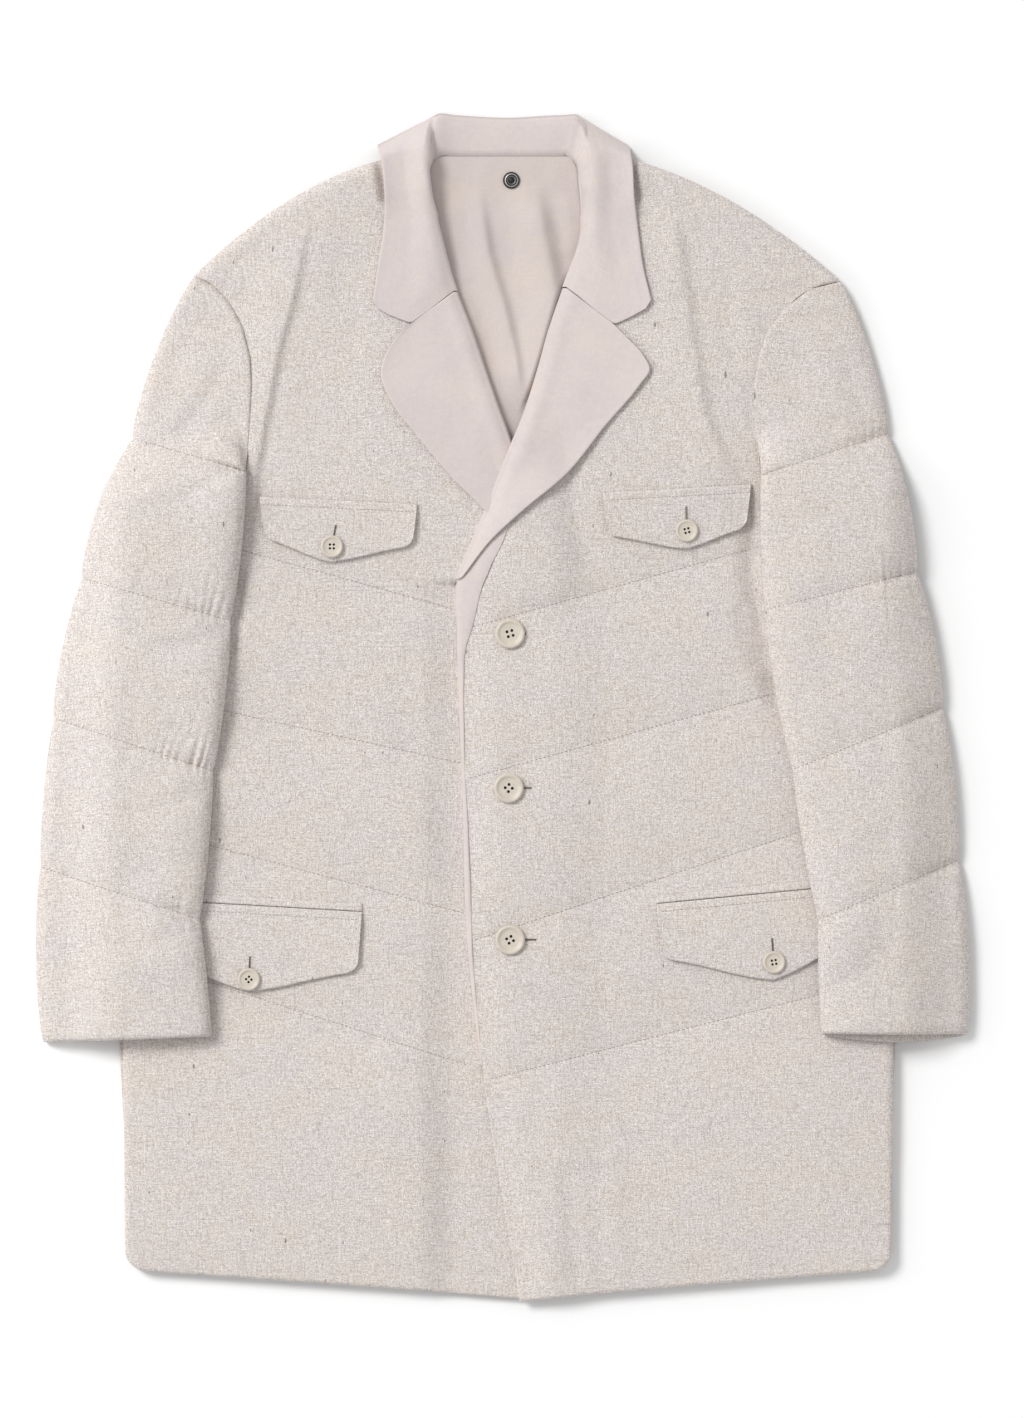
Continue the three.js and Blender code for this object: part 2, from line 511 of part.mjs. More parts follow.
// A wall whose inner edge is a roll: the cloth folds down there, inwards of what it lies on, to a bed.
function rolledWall(side, plan, rows, cells, heights) {
  const across = columns(cells);
  const fold = [{ u: 0, inset: 3, at: "bed" }, { u: 0, inset: 1.3, at: "bed" }, { u: 0, inset: 1.1, at: "lower" }];
  const line = [...fold, ...across.slice(1).map((u) => ({ u, inset: 0, at: "lower" }))];
  if (side === -1) line.reverse();
  const upper = [];
  const lower = [];
  for (const row of rows) {
    const points = line.map(({ u, inset, at }) => {
      const p = plan(u, row);
      const z = heights(p, u, row);
      const drop = inset > 2 ? 1.6 : 0;
      return { x: p[0] - side * inset, y: p[1], upper: z.upper - drop, lower: z[at] };
    });
    upper.push(points.map((q) => [q.x, q.y, q.upper]));
    lower.push(points.map((q) => [q.x, q.y, q.lower]));
  }
  return wall(upper, lower);
}

function makeFront(side) {
  const { sections, plan } = frontPlans.get(side);
  const lastRow = sections.length - 1;
  const settle = HOLLOW - SEAM_GAP; // the hollow closes towards the side and shoulder seams
  return panelWall(plan, rowsOf(sections), 12, (p, u, row) => {
    const face = frontFace(side, p);
    const d = edgeDistances(plan, lastRow, u, row);
    const closed = Math.max(smooth(1 - d.outer / 40), smooth(1 - d.head / 40));
    const rim = dome(d.outer, RIM_REACH) * dome(d.head, RIM_REACH) * dome(d.foot, RIM_REACH);
    const lower = face.lower - settle * closed;
    const upper = lower + 1.6 + (face.upper - face.lower - 1.6) * rim;
    return { lower, upper };
  });
}

function makeBack() {
  const armholes = ARMHOLE_RIGHT.slice(0, -1).map((p, k) => ({
    ix: p[0],
    iy: p[1],
    ox: ARMHOLE_LEFT[k][0],
    oy: ARMHOLE_LEFT[k][1],
    cells: 1,
  }));
  const sections = [...BACK_SECTIONS, ...armholes, ...BACK_SHOULDERS];
  const neck = BACK_SHOULDERS[BACK_SHOULDERS.length - 1];
  const neckLine = (u) => [mix(neck.ix, neck.ox, u), mix(neck.iy, neck.oy, u) + NECK_RISE * dome(Math.min(u, 1 - u), 0.4)];
  const plan = planOf(sections, { head: neckLine });
  return panelWall(plan, rowsOf(sections), 16, (p, u, row) => {
    const d = edgeDistances(plan, sections.length - 1, u, row);
    const rim = dome(Math.min(d.inner, d.outer, d.foot), RIM_REACH);
    const lower = neckLift(p) + 1.2 * (1 - rim);
    return { lower, upper: neckLift(p) + mix(BACK_WALL - 1.2, BACK_WALL, rim) };
  });
}

function makeLining() {
  const plan = planOf(LINING_SECTIONS);
  return panelWall(plan, rowsOf(LINING_SECTIONS), 8, (p) => {
    const lower = BACK_WALL + neckLift(p) + SEAM_GAP;
    return { lower, upper: lower + LINING_WALL - foldDepth(p, LINING_FOLDS) };
  });
}

// The part of the body that a sleeve may lie on: all of it below a line from the sleeve's fold to the underarm.
function bodyUnderSleeve(side) {
  const [fold, arm, waist, skirt] = side === 1
    ? [[150, 182], [284, 157], [298, -60], [297, -430]]
    : [[-150, 182], [-282, 152], [-292, -60], [-290, -430]];
  return [fold, [196 * side, 181], arm, waist, skirt, [150 * side, -430]];
}

// A sleeve's plan: rows 0 to 1 run from the armhole seam to the first quilting seam, then one for each channel.
// clearance draws the edges in.
function sleevePlan(side, clearance) {
  const sections = side === 1 ? SLEEVE_LEFT_SECTIONS : SLEEVE_RIGHT_SECTIONS;
  const seam = side === 1 ? ARMHOLE_LEFT : ARMHOLE_RIGHT;
  const seamLine = polyline(seam);
  const first = { ix: seam[0][0], iy: seam[0][1], ox: seam[8][0], oy: seam[8][1] };
  const all = [first, ...sections];
  const last = all.length - 1;
  return (u, row) => {
    const k = Math.min(last - 1, Math.floor(row));
    const t = row - k;
    const bulge = Math.sin(Math.PI * t) ** 0.6;
    const inner = mixPoint([all[k].ix, all[k].iy], [all[k + 1].ix, all[k + 1].iy], t);
    const outer = mixPoint([all[k].ox, all[k].oy], [all[k + 1].ox, all[k + 1].oy], t);
    inner[0] -= side * (all[k + 1].bulgeIn * bulge - clearance);
    outer[0] += side * (all[k + 1].bulgeOut * bulge - clearance);
    const p = mixPoint(inner, outer, u);
    if (k === 0) {
      const bent = seamLine(u);
      const chord = mixPoint(seam[0], seam[8], u);
      p[0] += (bent[0] - chord[0]) * (1 - t) + side * (SEAM_GAP + clearance * u) * (1 - t);
      p[1] += (bent[1] - chord[1]) * (1 - t);
    }
    return p;
  };
}

const SLEEVE_COLUMNS = [0, 0.05, 0.125, 0.25, 0.375, 0.5, 0.625, 0.75, 0.875, 0.95, 1]; // eighths meet the armhole
const SLEEVE_ROWS = [0, 0.25, 0.55, 0.85, 1];
for (let k = 1; k < 5; k += 1) SLEEVE_ROWS.push(k + 0.12, k + 0.35, k + 0.65, k + 0.88, k + 1);

// A sleeve is an under and a top wall on the same rows and columns, with a thin hollow between them.
function makeSleeve(side, relief) {
  const full = sleevePlan(side, 0);
  const inset = sleevePlan(side, 0.8);
  const body = bodyUnderSleeve(side);
  const shape = (u, row) => {
    const p = full(u, row);
    const toEdge = Math.min(u, 1 - u) * apart(full(0, row), full(1, row));
    const lying = isInside(p, body) ? relief(p, 20) + SEAM_GAP : 0;
    const head = SLEEVE_HEAD * smooth(1 - row / 0.6);
    const floor = Math.max(lying, head, BODY_TOP * plateau(p, body, 0, SLEEVE_BRIDGE));
    return { toEdge, edge: dome(toEdge, RIM_REACH), floor };
  };
  const under = panelWall(inset, SLEEVE_ROWS, SLEEVE_COLUMNS, (p, u, row) => {
    const { edge, floor } = shape(u, row);
    return { lower: floor + 1.6 * (1 - edge), upper: floor + mix(3.2, UNDER_SLEEVE_WALL, edge) };
  });
  const top = panelWall(full, SLEEVE_ROWS, SLEEVE_COLUMNS, (p, u, row) => {
    const { toEdge, edge, floor } = shape(u, row);
    const toSeam = Math.min(row % 1, 1 - (row % 1)) * 110;
    const puff = row > 4.5 ? mix(0.55, 1, dome((5 - row) * 90, 30)) : dome(toSeam, SLEEVE_PUFF_REACH);
    const head = row < 1 ? mix(0.35, 1, smooth(row)) : 1;
    const loft = TOP_SLEEVE_LOFT * mix(0.35, 1, puff) * dome(toEdge, 34) * head;
    const lower = floor + mix(3.2, UNDER_SLEEVE_WALL, edge) + SLEEVE_HOLLOW;
    return { lower, upper: lower + mix(1.6, TOP_SLEEVE_WALL, edge) + loft };
  });
  return { under, top };
}

// The lapels lie on the fronts and roll over the fronts' inner edges.
function makeLapel(side, relief) {
  const table = side === 1 ? LAPEL_LEFT_SECTIONS : LAPEL_RIGHT_SECTIONS;
  const sections = table.map((s) => ({ ...s, ix: rollX(side, s.iy) }));
  const plan = planOf(sections);
  return rolledWall(side, plan, rowsOf(sections), 6, (p, u, row) => {
    const width = apart(plan(0, row), plan(1, row));
    const lower = relief(p, 12) + SEAM_GAP;
    return { bed: frontFace(side, p).bed, lower, upper: lower + mix(1.4, REVERS_WALL, dome((1 - u) * width, 6)) };
  });
}

// One section of the collar: the face and the underside of its cloth, from the stand's foot over the roll to the
// outer edge. Its three ways of lying are worked out side by side and mixed.
function collarSection(row, reliefs) {
  const k = Math.min(COLLAR_SECTIONS.length - 2, Math.floor(row));
  const [from, to] = [COLLAR_SECTIONS[k], COLLAR_SECTIONS[k + 1]];
  const between = (x, y) => mixPoint([from[x], from[y]], [to[x], to[y]], row - k);
  const [roll, outer, foot] = [between("rx", "ry"), between("ox", "oy"), between("fx", "fy")];
  const lie = mix(from.lie, to.lie, row - k);
  const side = roll[0] > 4 ? 1 : -1;
  if (roll[1] < 372) {
    roll[0] = rollX(side, roll[1]);
    foot[0] = roll[0] - 3 * side;
  }
  const last = COLLAR_SECTIONS.length - 1;
  const end = row < last / 2 ? LEFT_END : RIGHT_END;
  const toEnd = Math.min(row, last - row);
  const at = (u) => {
    const bend = clamp01(1 - toEnd / 2);
    const chord = mixPoint(end[0], end[end.length - 1], u);
    const line = polyline(end)(u);
    const p = mixPoint(roll, outer, u);
    return [p[0] + (line[0] - chord[0]) * bend - 0.8 * side * (1 - u), p[1] + (line[1] - chord[1]) * bend];
  };
  const way = outer[0] - roll[0];
  const length = Math.hypot(way, outer[1] - roll[1]);
  const out = [(-(outer[1] - roll[1]) * Math.sign(way)) / length, Math.abs(way) / length]; // away from the neck
  const reach = mix(12, 34, smooth((roll[1] - 370) / 30)); // past the shoulder there is nothing right beneath
  const settle = (p, u) => reliefs.get(side)(p, reach) + SEAM_GAP + 3 * smooth(1 - u * 1.6) * smooth(toEnd / 2);
  const bed = ROLL_FOOT + neckLift(foot);
  const head = settle(roll, 0);
  const stand = [0, 0.5, 0.85].map((t) => {
    const p = mixPoint(foot, roll, t);
    return {
      lying: [[foot[0], foot[1], mix(bed, head + 2, t)], [foot[0] + 1.8 * side, foot[1], mix(bed, head, t)]],
      turned: [[...p, mix(11, 4.4, t)], [...p, mix(8.6, 2, t)]],
      under: [[...p, mix(9.1, 4.9, t)], [...p, mix(5.9, 3.1, t)]],
    };
  });
  const leaf = COLLAR_ACROSS.map((u) => {
    const p = at(u);
    const low = settle(p, u);
    const rim = dome((1 - u) * length, 6);
    const beneath = [p[0], p[1] - (u === 0 ? 0 : 2)];
    return {
      lying: [[...p, low + mix(1.4, REVERS_WALL, rim)], [...p, low]],
      turned: [[p[0] + 1.2 * out[0], p[1] + 1.2 * out[1], 2.6], [p[0] - 1.2 * out[0], p[1] - 1.2 * out[1], 2.6]],
      under: u === 0
        ? [[beneath[0], beneath[1] + 1, 2], [beneath[0], beneath[1] - 2, 2.8]]
        : [[...beneath, 0], [beneath[0], beneath[1] - 1, mix(1.4, FALL_WALL, rim)]],
    };
  });
  const weights = { lying: clamp01(1 - lie), turned: 1 - Math.abs(1 - lie), under: clamp01(lie - 1) };
  return [...stand, ...leaf].map((ways) =>
    [0, 1].map((face) => [0, 1, 2].map((axis) =>
      Object.entries(weights).reduce((sum, [name, share]) => sum + share * ways[name][face][axis], 0))));
}

function makeCollar(reliefs) {
  const sections = rowsOf(COLLAR_SECTIONS).map((row) => collarSection(row, reliefs));
  return wall(sections.map((line) => line.map(([face]) => face)), sections.map((line) => line.map(([, back]) => back)));
}

// The linen facing that rolls out along the left front's edge, widest under the lapel.
function makeFacingEdge(relief) {
  const { plan } = frontPlans.get(1);
  const widthAt = (row) => mix(5, 27, smooth((row - 3.6) / 1.3));
  const across = [0, 0.5, 1];
  const rows = [];
  for (let row = 0.9; row < 4.9; row += 0.2) rows.push(row);
  const upper = [];
  const lower = [];
  for (const row of rows) {
    const length = apart(plan(0, row), plan(1, row));
    const points = across.map((t) => {
      const p = plan((1 + widthAt(row) * t) / length, row);
      return { p, z: relief(p, 9) + SEAM_GAP };
    });
    upper.push(points.map(({ p, z }, k) => [p[0], p[1], z + (k === 2 ? 0.6 : 1)]));
    lower.push(points.map(({ p, z }) => [p[0], p[1], z]));
  }
  return wall(upper, lower);
}

// A flap's outline as a plan: u runs along the pocket, the foot is pointed and its corners round off.
function flapPlan(flap) {
  const foot = (u) => {
    const toPoint = u < flap.at ? u / flap.at : (1 - u) / (1 - flap.at);
    const corner = 1 - dome(Math.min(u, 1 - u), FLAP_CORNER);
    const drop = mix(flap.drop, flap.point, smooth(toPoint) * 0.5 + toPoint * 0.5);
    return drop - corner * 9;
  };
  return (u, row) => {
    const lean = FLAP_LEAN * row * (u < 0.5 ? 1 : -1) * (1 - 2 * Math.min(u, 1 - u)) * Math.sign(flap.ox - flap.ix);
    return [mix(flap.ix, flap.ox, u) + lean, mix(flap.iy, flap.oy, u) - foot(u) * row];
  };
}

function makeFlap(flap, relief) {
  const plan = flapPlan(flap);
  const rows = [0, 0.35, 0.7, 0.93, 1];
  const mirrored = flap.ox < flap.ix;
  const across = columns(10);
  if (mirrored) across.reverse();
  // The flap hangs from its upper edge down the panel, so rows are taken from the foot up.
  const grid = (offset) =>
    [...rows].reverse().map((row) =>
      across.map((u) => {
        const p = plan(u, row);
        return [p[0], p[1], relief(p, 12) + offset(row, u)];
      }),
    );
  const lift = (row) => SEAM_GAP + 0.6 * row;
  const rim = (row, u) => dome(Math.min(u, 1 - u) * 120, 4) * dome((1 - row) * 40, 4);
  return wall(grid((row, u) => lift(row) + mix(1.3, FLAP_WALL, rim(row, u))), grid((row) => lift(row)));
}

function makeJet(flap, relief) {
  const across = columns(8);
  if (flap.ox < flap.ix) across.reverse();
  const grid = (offset) =>
    [0.6, 0.6 + JET / 2, 0.6 + JET].map((up, row) =>
      across.map((u) => {
        const p = [mix(flap.ix, flap.ox, u), mix(flap.iy, flap.oy, u) + up];
        return [p[0], p[1], relief(p, 12) + offset(row)];
      }),
    );
  return wall(grid((row) => SEAM_GAP + 0.3 + [1.5, 1.3, 0.6][row]), grid(() => SEAM_GAP + 0.3));
}

// A four-hole button, turned on a lathe with a rim and a dished middle.
function makeButton({ kind, turn }) {
  const { radius: r, height: h, pitch, hole } = kind;
  const profile = [
    [0, 0], [r * 0.7, 0], [r, h * 0.5], [r * 0.94, h], [r * 0.8, h * 0.95], [r * 0.68, h * 0.62], [0, h * 0.58],
  ];
  const lathe = new THREE.LatheGeometry(profile.map(([x, y]) => new THREE.Vector2(x, y)), 16);
  lathe.rotateX(Math.PI / 2);
  let solid = toSolid(lathe);
  for (let k = 0; k < 4; k += 1) {
    const angle = THREE.MathUtils.degToRad(turn + 45 + 90 * k);
    const drill = new THREE.CylinderGeometry(hole, hole, h * 3, 5);
    drill.rotateX(Math.PI / 2);
    drill.translate((Math.cos(angle) * pitch) / Math.SQRT2, (Math.sin(angle) * pitch) / Math.SQRT2, 0);
    solid = solid.subtract(toSolid(drill));
  }
  return fromSolid(solid);
}

function makeSnap() {
  const { radius: r, height: h } = SNAP;
  const profile = [[0, 0], [r, 0], [r, h * 0.5], [r * 0.85, h], [r * 0.6, h], [r * 0.5, h * 0.45], [r * 0.28, h * 0.45], [r * 0.2, h * 0.9], [0, h * 0.9]];
  const lathe = new THREE.LatheGeometry(profile.map(([x, y]) => new THREE.Vector2(x, y)), 20);
  return lathe.rotateX(Math.PI / 2);
}

const jacket = new THREE.Group();
const content = new THREE.Group();
jacket.add(content);

function addPiece(name, geometry, material, place = [0, 0, 0]) {
  const mesh = new THREE.Mesh(geometry, material);
  mesh.name = name;
  mesh.position.set(...place);
  content.add(mesh);
}

addPiece("back", makeBack(), TWEED);
addPiece("back_lining", makeLining(), LINEN);
const fronts = new Map([[1, makeFront(1)], [-1, makeFront(-1)]]);
addPiece("front_left", fronts.get(1), TWEED);
addPiece("front_right", fronts.get(-1), TWEED);
const reliefs = new Map([[1, reliefOf([fronts.get(1)])], [-1, reliefOf([fronts.get(-1)])]]);
addPiece("lapel_left", makeLapel(1, reliefs.get(1)), LINEN);
addPiece("lapel_right", makeLapel(-1, reliefs.get(-1)), LINEN);
addPiece("facing_edge", makeFacingEdge(reliefs.get(1)), LINEN);
addPiece("collar", makeCollar(reliefs), LINEN);
const laid = [...fronts.values()];
for (const flap of FLAPS) {
  const pieces = { [flap.name]: makeFlap(flap, reliefs.get(flap.side)) };
  if (flap.name.startsWith("hip")) pieces[flap.name.replace("flap", "jet")] = makeJet(flap, reliefs.get(flap.side));
  for (const [name, geometry] of Object.entries(pieces)) {
    addPiece(name, geometry, TWEED);
    laid.push(geometry);
  }
}
const relief = reliefOf(laid);
for (const [label, side] of [["left", 1], ["right", -1]]) {
  const { under, top } = makeSleeve(side, relief);
  addPiece(`sleeve_under_${label}`, under, TWEED);
  addPiece(`sleeve_top_${label}`, top, TWEED);
}
for (const button of BUTTONS) {
  const seat = relief([button.x, button.y], button.kind.radius + 1);
  addPiece(button.name, makeButton(button), HORN, [button.x, button.y, seat + BUTTON_CLEARANCE]);
}
const snapSeat = BACK_WALL + neckLift([SNAP.x, SNAP.y]) + SEAM_GAP + LINING_WALL;
addPiece("neck_snap", makeSnap(), BLACK_METAL, [SNAP.x, SNAP.y, snapSeat + SEAM_GAP]);

// The origin is under the middle of the jacket's outline, on the surface.
content.updateMatrixWorld(true);
const bounds = new THREE.Box3().setFromObject(content);
content.position.set(-(bounds.min.x + bounds.max.x) / 2, -(bounds.min.y + bounds.max.y) / 2, 0);

export default jacket;
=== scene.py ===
# %% [markdown]
# # A padded tweed jacket, laid flat
# The jacket lies on its back with the front buttoned and the sleeves brought down over its sides. Its
# body and sleeves are slubbed pale tweed over a light padding, quilted along slanting seams. Collar,
# lapels, the rolled facing and the lining are smooth linen. We load the solid model as a frame and
# dress every node of it with a finer piece.

# %% Load the frame
import math

import bmesh
import bpy
import numpy as np
from mathutils import Matrix, Vector


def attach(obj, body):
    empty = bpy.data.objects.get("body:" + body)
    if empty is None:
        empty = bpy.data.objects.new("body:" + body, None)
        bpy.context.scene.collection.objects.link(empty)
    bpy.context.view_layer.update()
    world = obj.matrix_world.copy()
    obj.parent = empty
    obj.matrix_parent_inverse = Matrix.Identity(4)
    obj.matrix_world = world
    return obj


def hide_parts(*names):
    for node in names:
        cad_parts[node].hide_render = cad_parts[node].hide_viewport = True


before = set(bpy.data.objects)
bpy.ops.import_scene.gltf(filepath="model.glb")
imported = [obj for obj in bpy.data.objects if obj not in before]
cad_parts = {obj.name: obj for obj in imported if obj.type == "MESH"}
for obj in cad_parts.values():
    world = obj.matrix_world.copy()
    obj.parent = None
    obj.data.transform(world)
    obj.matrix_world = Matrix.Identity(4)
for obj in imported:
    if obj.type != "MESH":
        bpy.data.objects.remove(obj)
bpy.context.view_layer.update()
MM = 0.001
SHIFT = np.array([0.375, -0.024, 0.0])  # from the zero of the tables below to the origin of the frame, in mm

# %% [markdown]
# ## Small tools for shaping cloth
# All shapes are worked out in millimetres with numpy, on whole grids of points at once. `smooth`
# eases between two levels, `dome` rises like a quarter circle, which is how padding swells away from
# a seam, and `noise` gives the uneven swells that no hand-made cloth is without. It draws from a
# seeded table, so each run gives the same jacket.

# %% Curves, distances and noise
def smooth(t):
    t = np.clip(t, 0.0, 1.0)
    return t * t * (3 - 2 * t)


def dome(distance, reach):
    return np.sqrt(np.clip(1 - (1 - np.clip(distance / reach, 0, 1)) ** 2, 0, 1))


def mix(a, b, t):
    return a + (b - a) * t


def noise(x, y, size, seed):
    """Soft unevenness from -1 to 1, with lumps of the given size."""
    table = np.random.default_rng(seed).uniform(-1, 1, (64, 64))
    x, y = np.asarray(x) / size + 1000, np.asarray(y) / size + 1000
    i, j = np.floor(x).astype(int), np.floor(y).astype(int)
    s, t = smooth(x - i), smooth(y - j)
    i, j = i % 64, j % 64
    low = mix(table[i, j], table[(i + 1) % 64, j], s)
    high = mix(table[i, (j + 1) % 64], table[(i + 1) % 64, (j + 1) % 64], s)
    return mix(low, high, t)


def lumps(p, size, seed, stretch=(1, 1)):
    """The same unevenness over the points of a plan."""
    return noise(p[..., 0] * stretch[0], p[..., 1] * stretch[1], size, seed)


def curve_through(points):
    """A smooth line through points, read by index: 1.5 is halfway between the second point and the third."""
    points = np.array(points, float)
    spans = np.maximum(np.linalg.norm(np.diff(points, axis=0), axis=1), 1e-6)
    slopes = np.diff(points, axis=0) / spans[:, None]
    tangents = np.empty_like(points)
    tangents[0], tangents[-1] = slopes[0], slopes[-1]
    before, after = spans[:-1, None], spans[1:, None]
    tangents[1:-1] = (slopes[:-1] * after + slopes[1:] * before) / (before + after)

    def read(at):
        at = np.asarray(at, float)
        k = np.clip(np.floor(at).astype(int), 0, len(points) - 2)
        t = (at - k)[..., None]
        span = spans[k][..., None]
        ends = (2 * t**3 - 3 * t**2 + 1) * points[k] + (3 * t**2 - 2 * t**3) * points[k + 1]
        turns = (t**3 - 2 * t**2 + t) * tangents[k] + (t**3 - t**2) * tangents[k + 1]
        return ends + turns * span

    return read


def polyline(points):
    """A straight-sided line through points, read from 0 at its start to 1 at its end."""
    points = np.array(points, float)

    def read(share):
        at = np.clip(np.asarray(share, float), 0, 1) * (len(points) - 1)
        k = np.minimum(len(points) - 2, np.floor(at).astype(int))
        return mix(points[k], points[k + 1], (at - k)[..., None])

    return read


def to_line(p, line):
    """The distance of each point from a line of straight pieces."""
    nearest = np.full(p.shape[:-1], 1e9)
    line = np.array(line, float)
    for a, b in zip(line[:-1], line[1:]):
        way = b - a
        t = np.clip(((p - a) @ way) / (way @ way), 0, 1)
        nearest = np.minimum(nearest, np.linalg.norm(p - (a + t[..., None] * way), axis=-1))
    return nearest


def beside_line(p, line):
    """The distance from a line drawn downwards, above 0 on its +X side, and the share of the line passed."""
    nearest = np.full(p.shape[:-1], 1e9)
    signed, share = np.zeros_like(nearest), np.zeros_like(nearest)
    line = np.array(line, float)
    for k, (a, b) in enumerate(zip(line[:-1], line[1:])):
        way, off = b - a, p - a
        t = np.clip((off @ way) / (way @ way), 0, 1)
        away = np.linalg.norm(off - t[..., None] * way, axis=-1)
        turn = np.sign(way[0] * off[..., 1] - way[1] * off[..., 0])
        signed = np.where(away < nearest, away * turn, signed)
        share = np.where(away < nearest, (k + t) / (len(line) - 1), share)
        nearest = np.minimum(nearest, away)
    return signed, share


def ridge(p, line, height, low_side, high_side):
    """A fold along a line, with its own width on the -X side and on the +X side."""
    off, share = beside_line(p, line)
    ends = smooth(share * 5) * smooth((1 - share) * 5)
    return height * ends * np.exp(-((off / np.where(off < 0, low_side, high_side)) ** 2))


def inside(p, outline):
    within = np.zeros(p.shape[:-1], bool)
    outline = np.array(outline, float)
    for a, b in zip(outline, np.roll(outline, -1, axis=0)):
        crosses = (a[1] > p[..., 1]) != (b[1] > p[..., 1])
        rise = b[1] - a[1] if b[1] != a[1] else 1e-9
        within ^= crosses & (p[..., 0] < (b[0] - a[0]) * (p[..., 1] - a[1]) / rise + a[0])
    return within


def plateau(p, outline, shelf, reach):
    """1 inside an outline and for a shelf's width round it, then falling to 0 over a reach."""
    outside = to_line(p, [*outline, outline[0]]) - shelf
    return np.where(inside(p, outline), 1.0, smooth(1 - outside / reach))


# %% [markdown]
# ## Sizes
# Levels and thicknesses follow the solid model: a padded back on the surface, the fronts on it, the
# left front over the right one, lapels and collar on those, and the sleeves on top at the sides.

# %% Levels and thicknesses in millimetres
BACK_WALL, LINING_WALL, HOLLOW = 5.5, 1.2, 1.0
FRONT_WALL, FRONT_LOFT = 2.8, 4.5
PLACKET_LIFT, REVERS_WALL, FLAP_WALL, FALL_WALL = 3.7, 2.0, 2.2, 2.5
UNDER_SLEEVE_WALL, SLEEVE_HOLLOW, TOP_SLEEVE_WALL, TOP_SLEEVE_LOFT = 5.0, 1.2, 3.0, 11.0
GAP = 0.4
FRONT_BASE = BACK_WALL + HOLLOW
ROLL_FOOT = BACK_WALL + LINING_WALL + 2 * GAP
BODY_TOP = FRONT_BASE + FRONT_WALL + FRONT_LOFT + 0.5
ROLL_LIFT, ROLL_REACH = 2.5, 46
SLEEVE_BRIDGE, SLEEVE_HEAD = 44, 3
SHOULDER_CROWN, HEM_DROP, NECK_RISE = 16, 15, 3
NECK_FOOT, NECK_LENGTH = 340, 62  # where the body starts to rise over the folded collar, and over how far
CLOTH_STEP = 3.0  # spacing of the mesh over a panel
RIM_REACH = 9  # how far in from a panel's edge its padding has risen in full

# Sections of each panel: inner x and y, outer x and y. A star marks a section that a quilting seam follows.
FRONT_SECTIONS = {
    1: [
        (12, -451, 294, -412), (-15, -283, 297, -203, "*"), (-27, -178, 298, -70, "*"),
        (-31, -55, 297, 36, "*"), (-35, 58, 286, 148, "*"), (-35, 95, 282, 157), (-24, 120, 238, 166),
    ],
    -1: [
        (26, -450, -287, -412), (28, -289, -290, -187, "*"), (30, -172, -292, -86, "*"),
        (31, -56, -291, 15, "*"), (30, 56, -284, 143, "*"), (28, 98, -280, 152), (22, 122, -238, 163),
    ],
}
ROLL = {  # the line along which each lapel folds out, upwards
    1: [
        (-13, 146), (-3, 170), (7, 196), (24, 240), (37, 287), (50, 324), (63, 361), (66, 388), (80, 419),
    ],
    -1: [
        (16, 148), (11, 172), (5, 196), (-11, 240), (-27, 287), (-41, 324), (-51, 361), (-58, 388),
        (-78, 418),
    ],
}
ARMHOLE = {  # from the underarm up to the shoulder point
    1: [
        (196, 181), (193, 202), (191, 223), (191, 244), (194, 265), (201, 286), (214, 303), (233, 317),
        (256, 323),
    ],
    -1: [
        (-196, 181), (-194, 202), (-193, 223), (-192, 244), (-193, 265), (-199, 289), (-209, 308),
        (-221, 320), (-235, 327),
    ],
}

# %% [markdown]
# ## From a plan to a wall of cloth
# Each panel is drawn like a pattern piece: a short table of sections from its inner to its outer
# edge, and smooth lines through their ends. `plan_of` turns the table into a function that gives the
# plan point for any place on the panel. `make_wall` then takes two grids of points, the face and the
# back of the cloth, and closes them into one thin solid with a UV map in metres, so that the weave
# keeps its scale and follows the grain of each piece.

# %% Plans of panels
def plan_of(sections, foot=None, head=None, foot_fade=1, head_fade=1):
    inner = curve_through([s[:2] for s in sections])
    outer = curve_through([s[2:4] for s in sections])
    last = len(sections) - 1

    def bend(line, row, u, share):
        chord = mix(inner(row), outer(row), u[..., None])
        return (line(u) - chord) * share[..., None]

    def plan(u, row):
        u, row = np.broadcast_arrays(np.asarray(u, float), np.asarray(row, float))
        p = mix(inner(row), outer(row), u[..., None])
        if foot:
            p = p + bend(foot, np.zeros_like(row), u, np.clip(1 - row / foot_fade, 0, 1))
        if head:
            p = p + bend(head, np.full_like(row, last), u, np.clip(1 - (last - row) / head_fade, 0, 1))
        return p

    return plan


def rim_steps(width, step=CLOTH_STEP):
    """Places from 0 to 1 across a width in mm, closer at both edges, where the cloth rounds over."""
    rim = np.array([0, 0.35, 0.9, 1.8, 3.2, 5.2])
    inner = np.linspace(rim[-1] + step, width - rim[-1] - step, max(2, int(width / step) - 4))
    return np.concatenate([rim, inner, width - rim[::-1]]) / width


def row_steps(sections, step=CLOTH_STEP):
    """Places along a panel, as section indices, a step apart and closer at its two ends."""
    rows = []
    for k, (a, b) in enumerate(zip(sections[:-1], sections[1:])):
        length = max(math.hypot(b[0] - a[0], b[1] - a[1]), math.hypot(b[2] - a[2], b[3] - a[3]))
        steps = rim_steps(length, step) if length > 40 and k in (0, len(sections) - 2) else None
        if steps is None:
            steps = np.linspace(0, 1, max(2, round(length / step) + 1))
        rows.extend(k + steps[:-1])
    return np.array([*rows, len(sections) - 1])


def edge_distances(p):
    """How far the points of a grid are from its inner, outer, foot and head edges."""
    inner = np.linalg.norm(p - p[:, :1], axis=-1)
    outer = np.linalg.norm(p - p[:, -1:], axis=-1)
    foot = np.linalg.norm(p - p[:1], axis=-1)
    head = np.linalg.norm(p - p[-1:], axis=-1)
    return inner, outer, foot, head


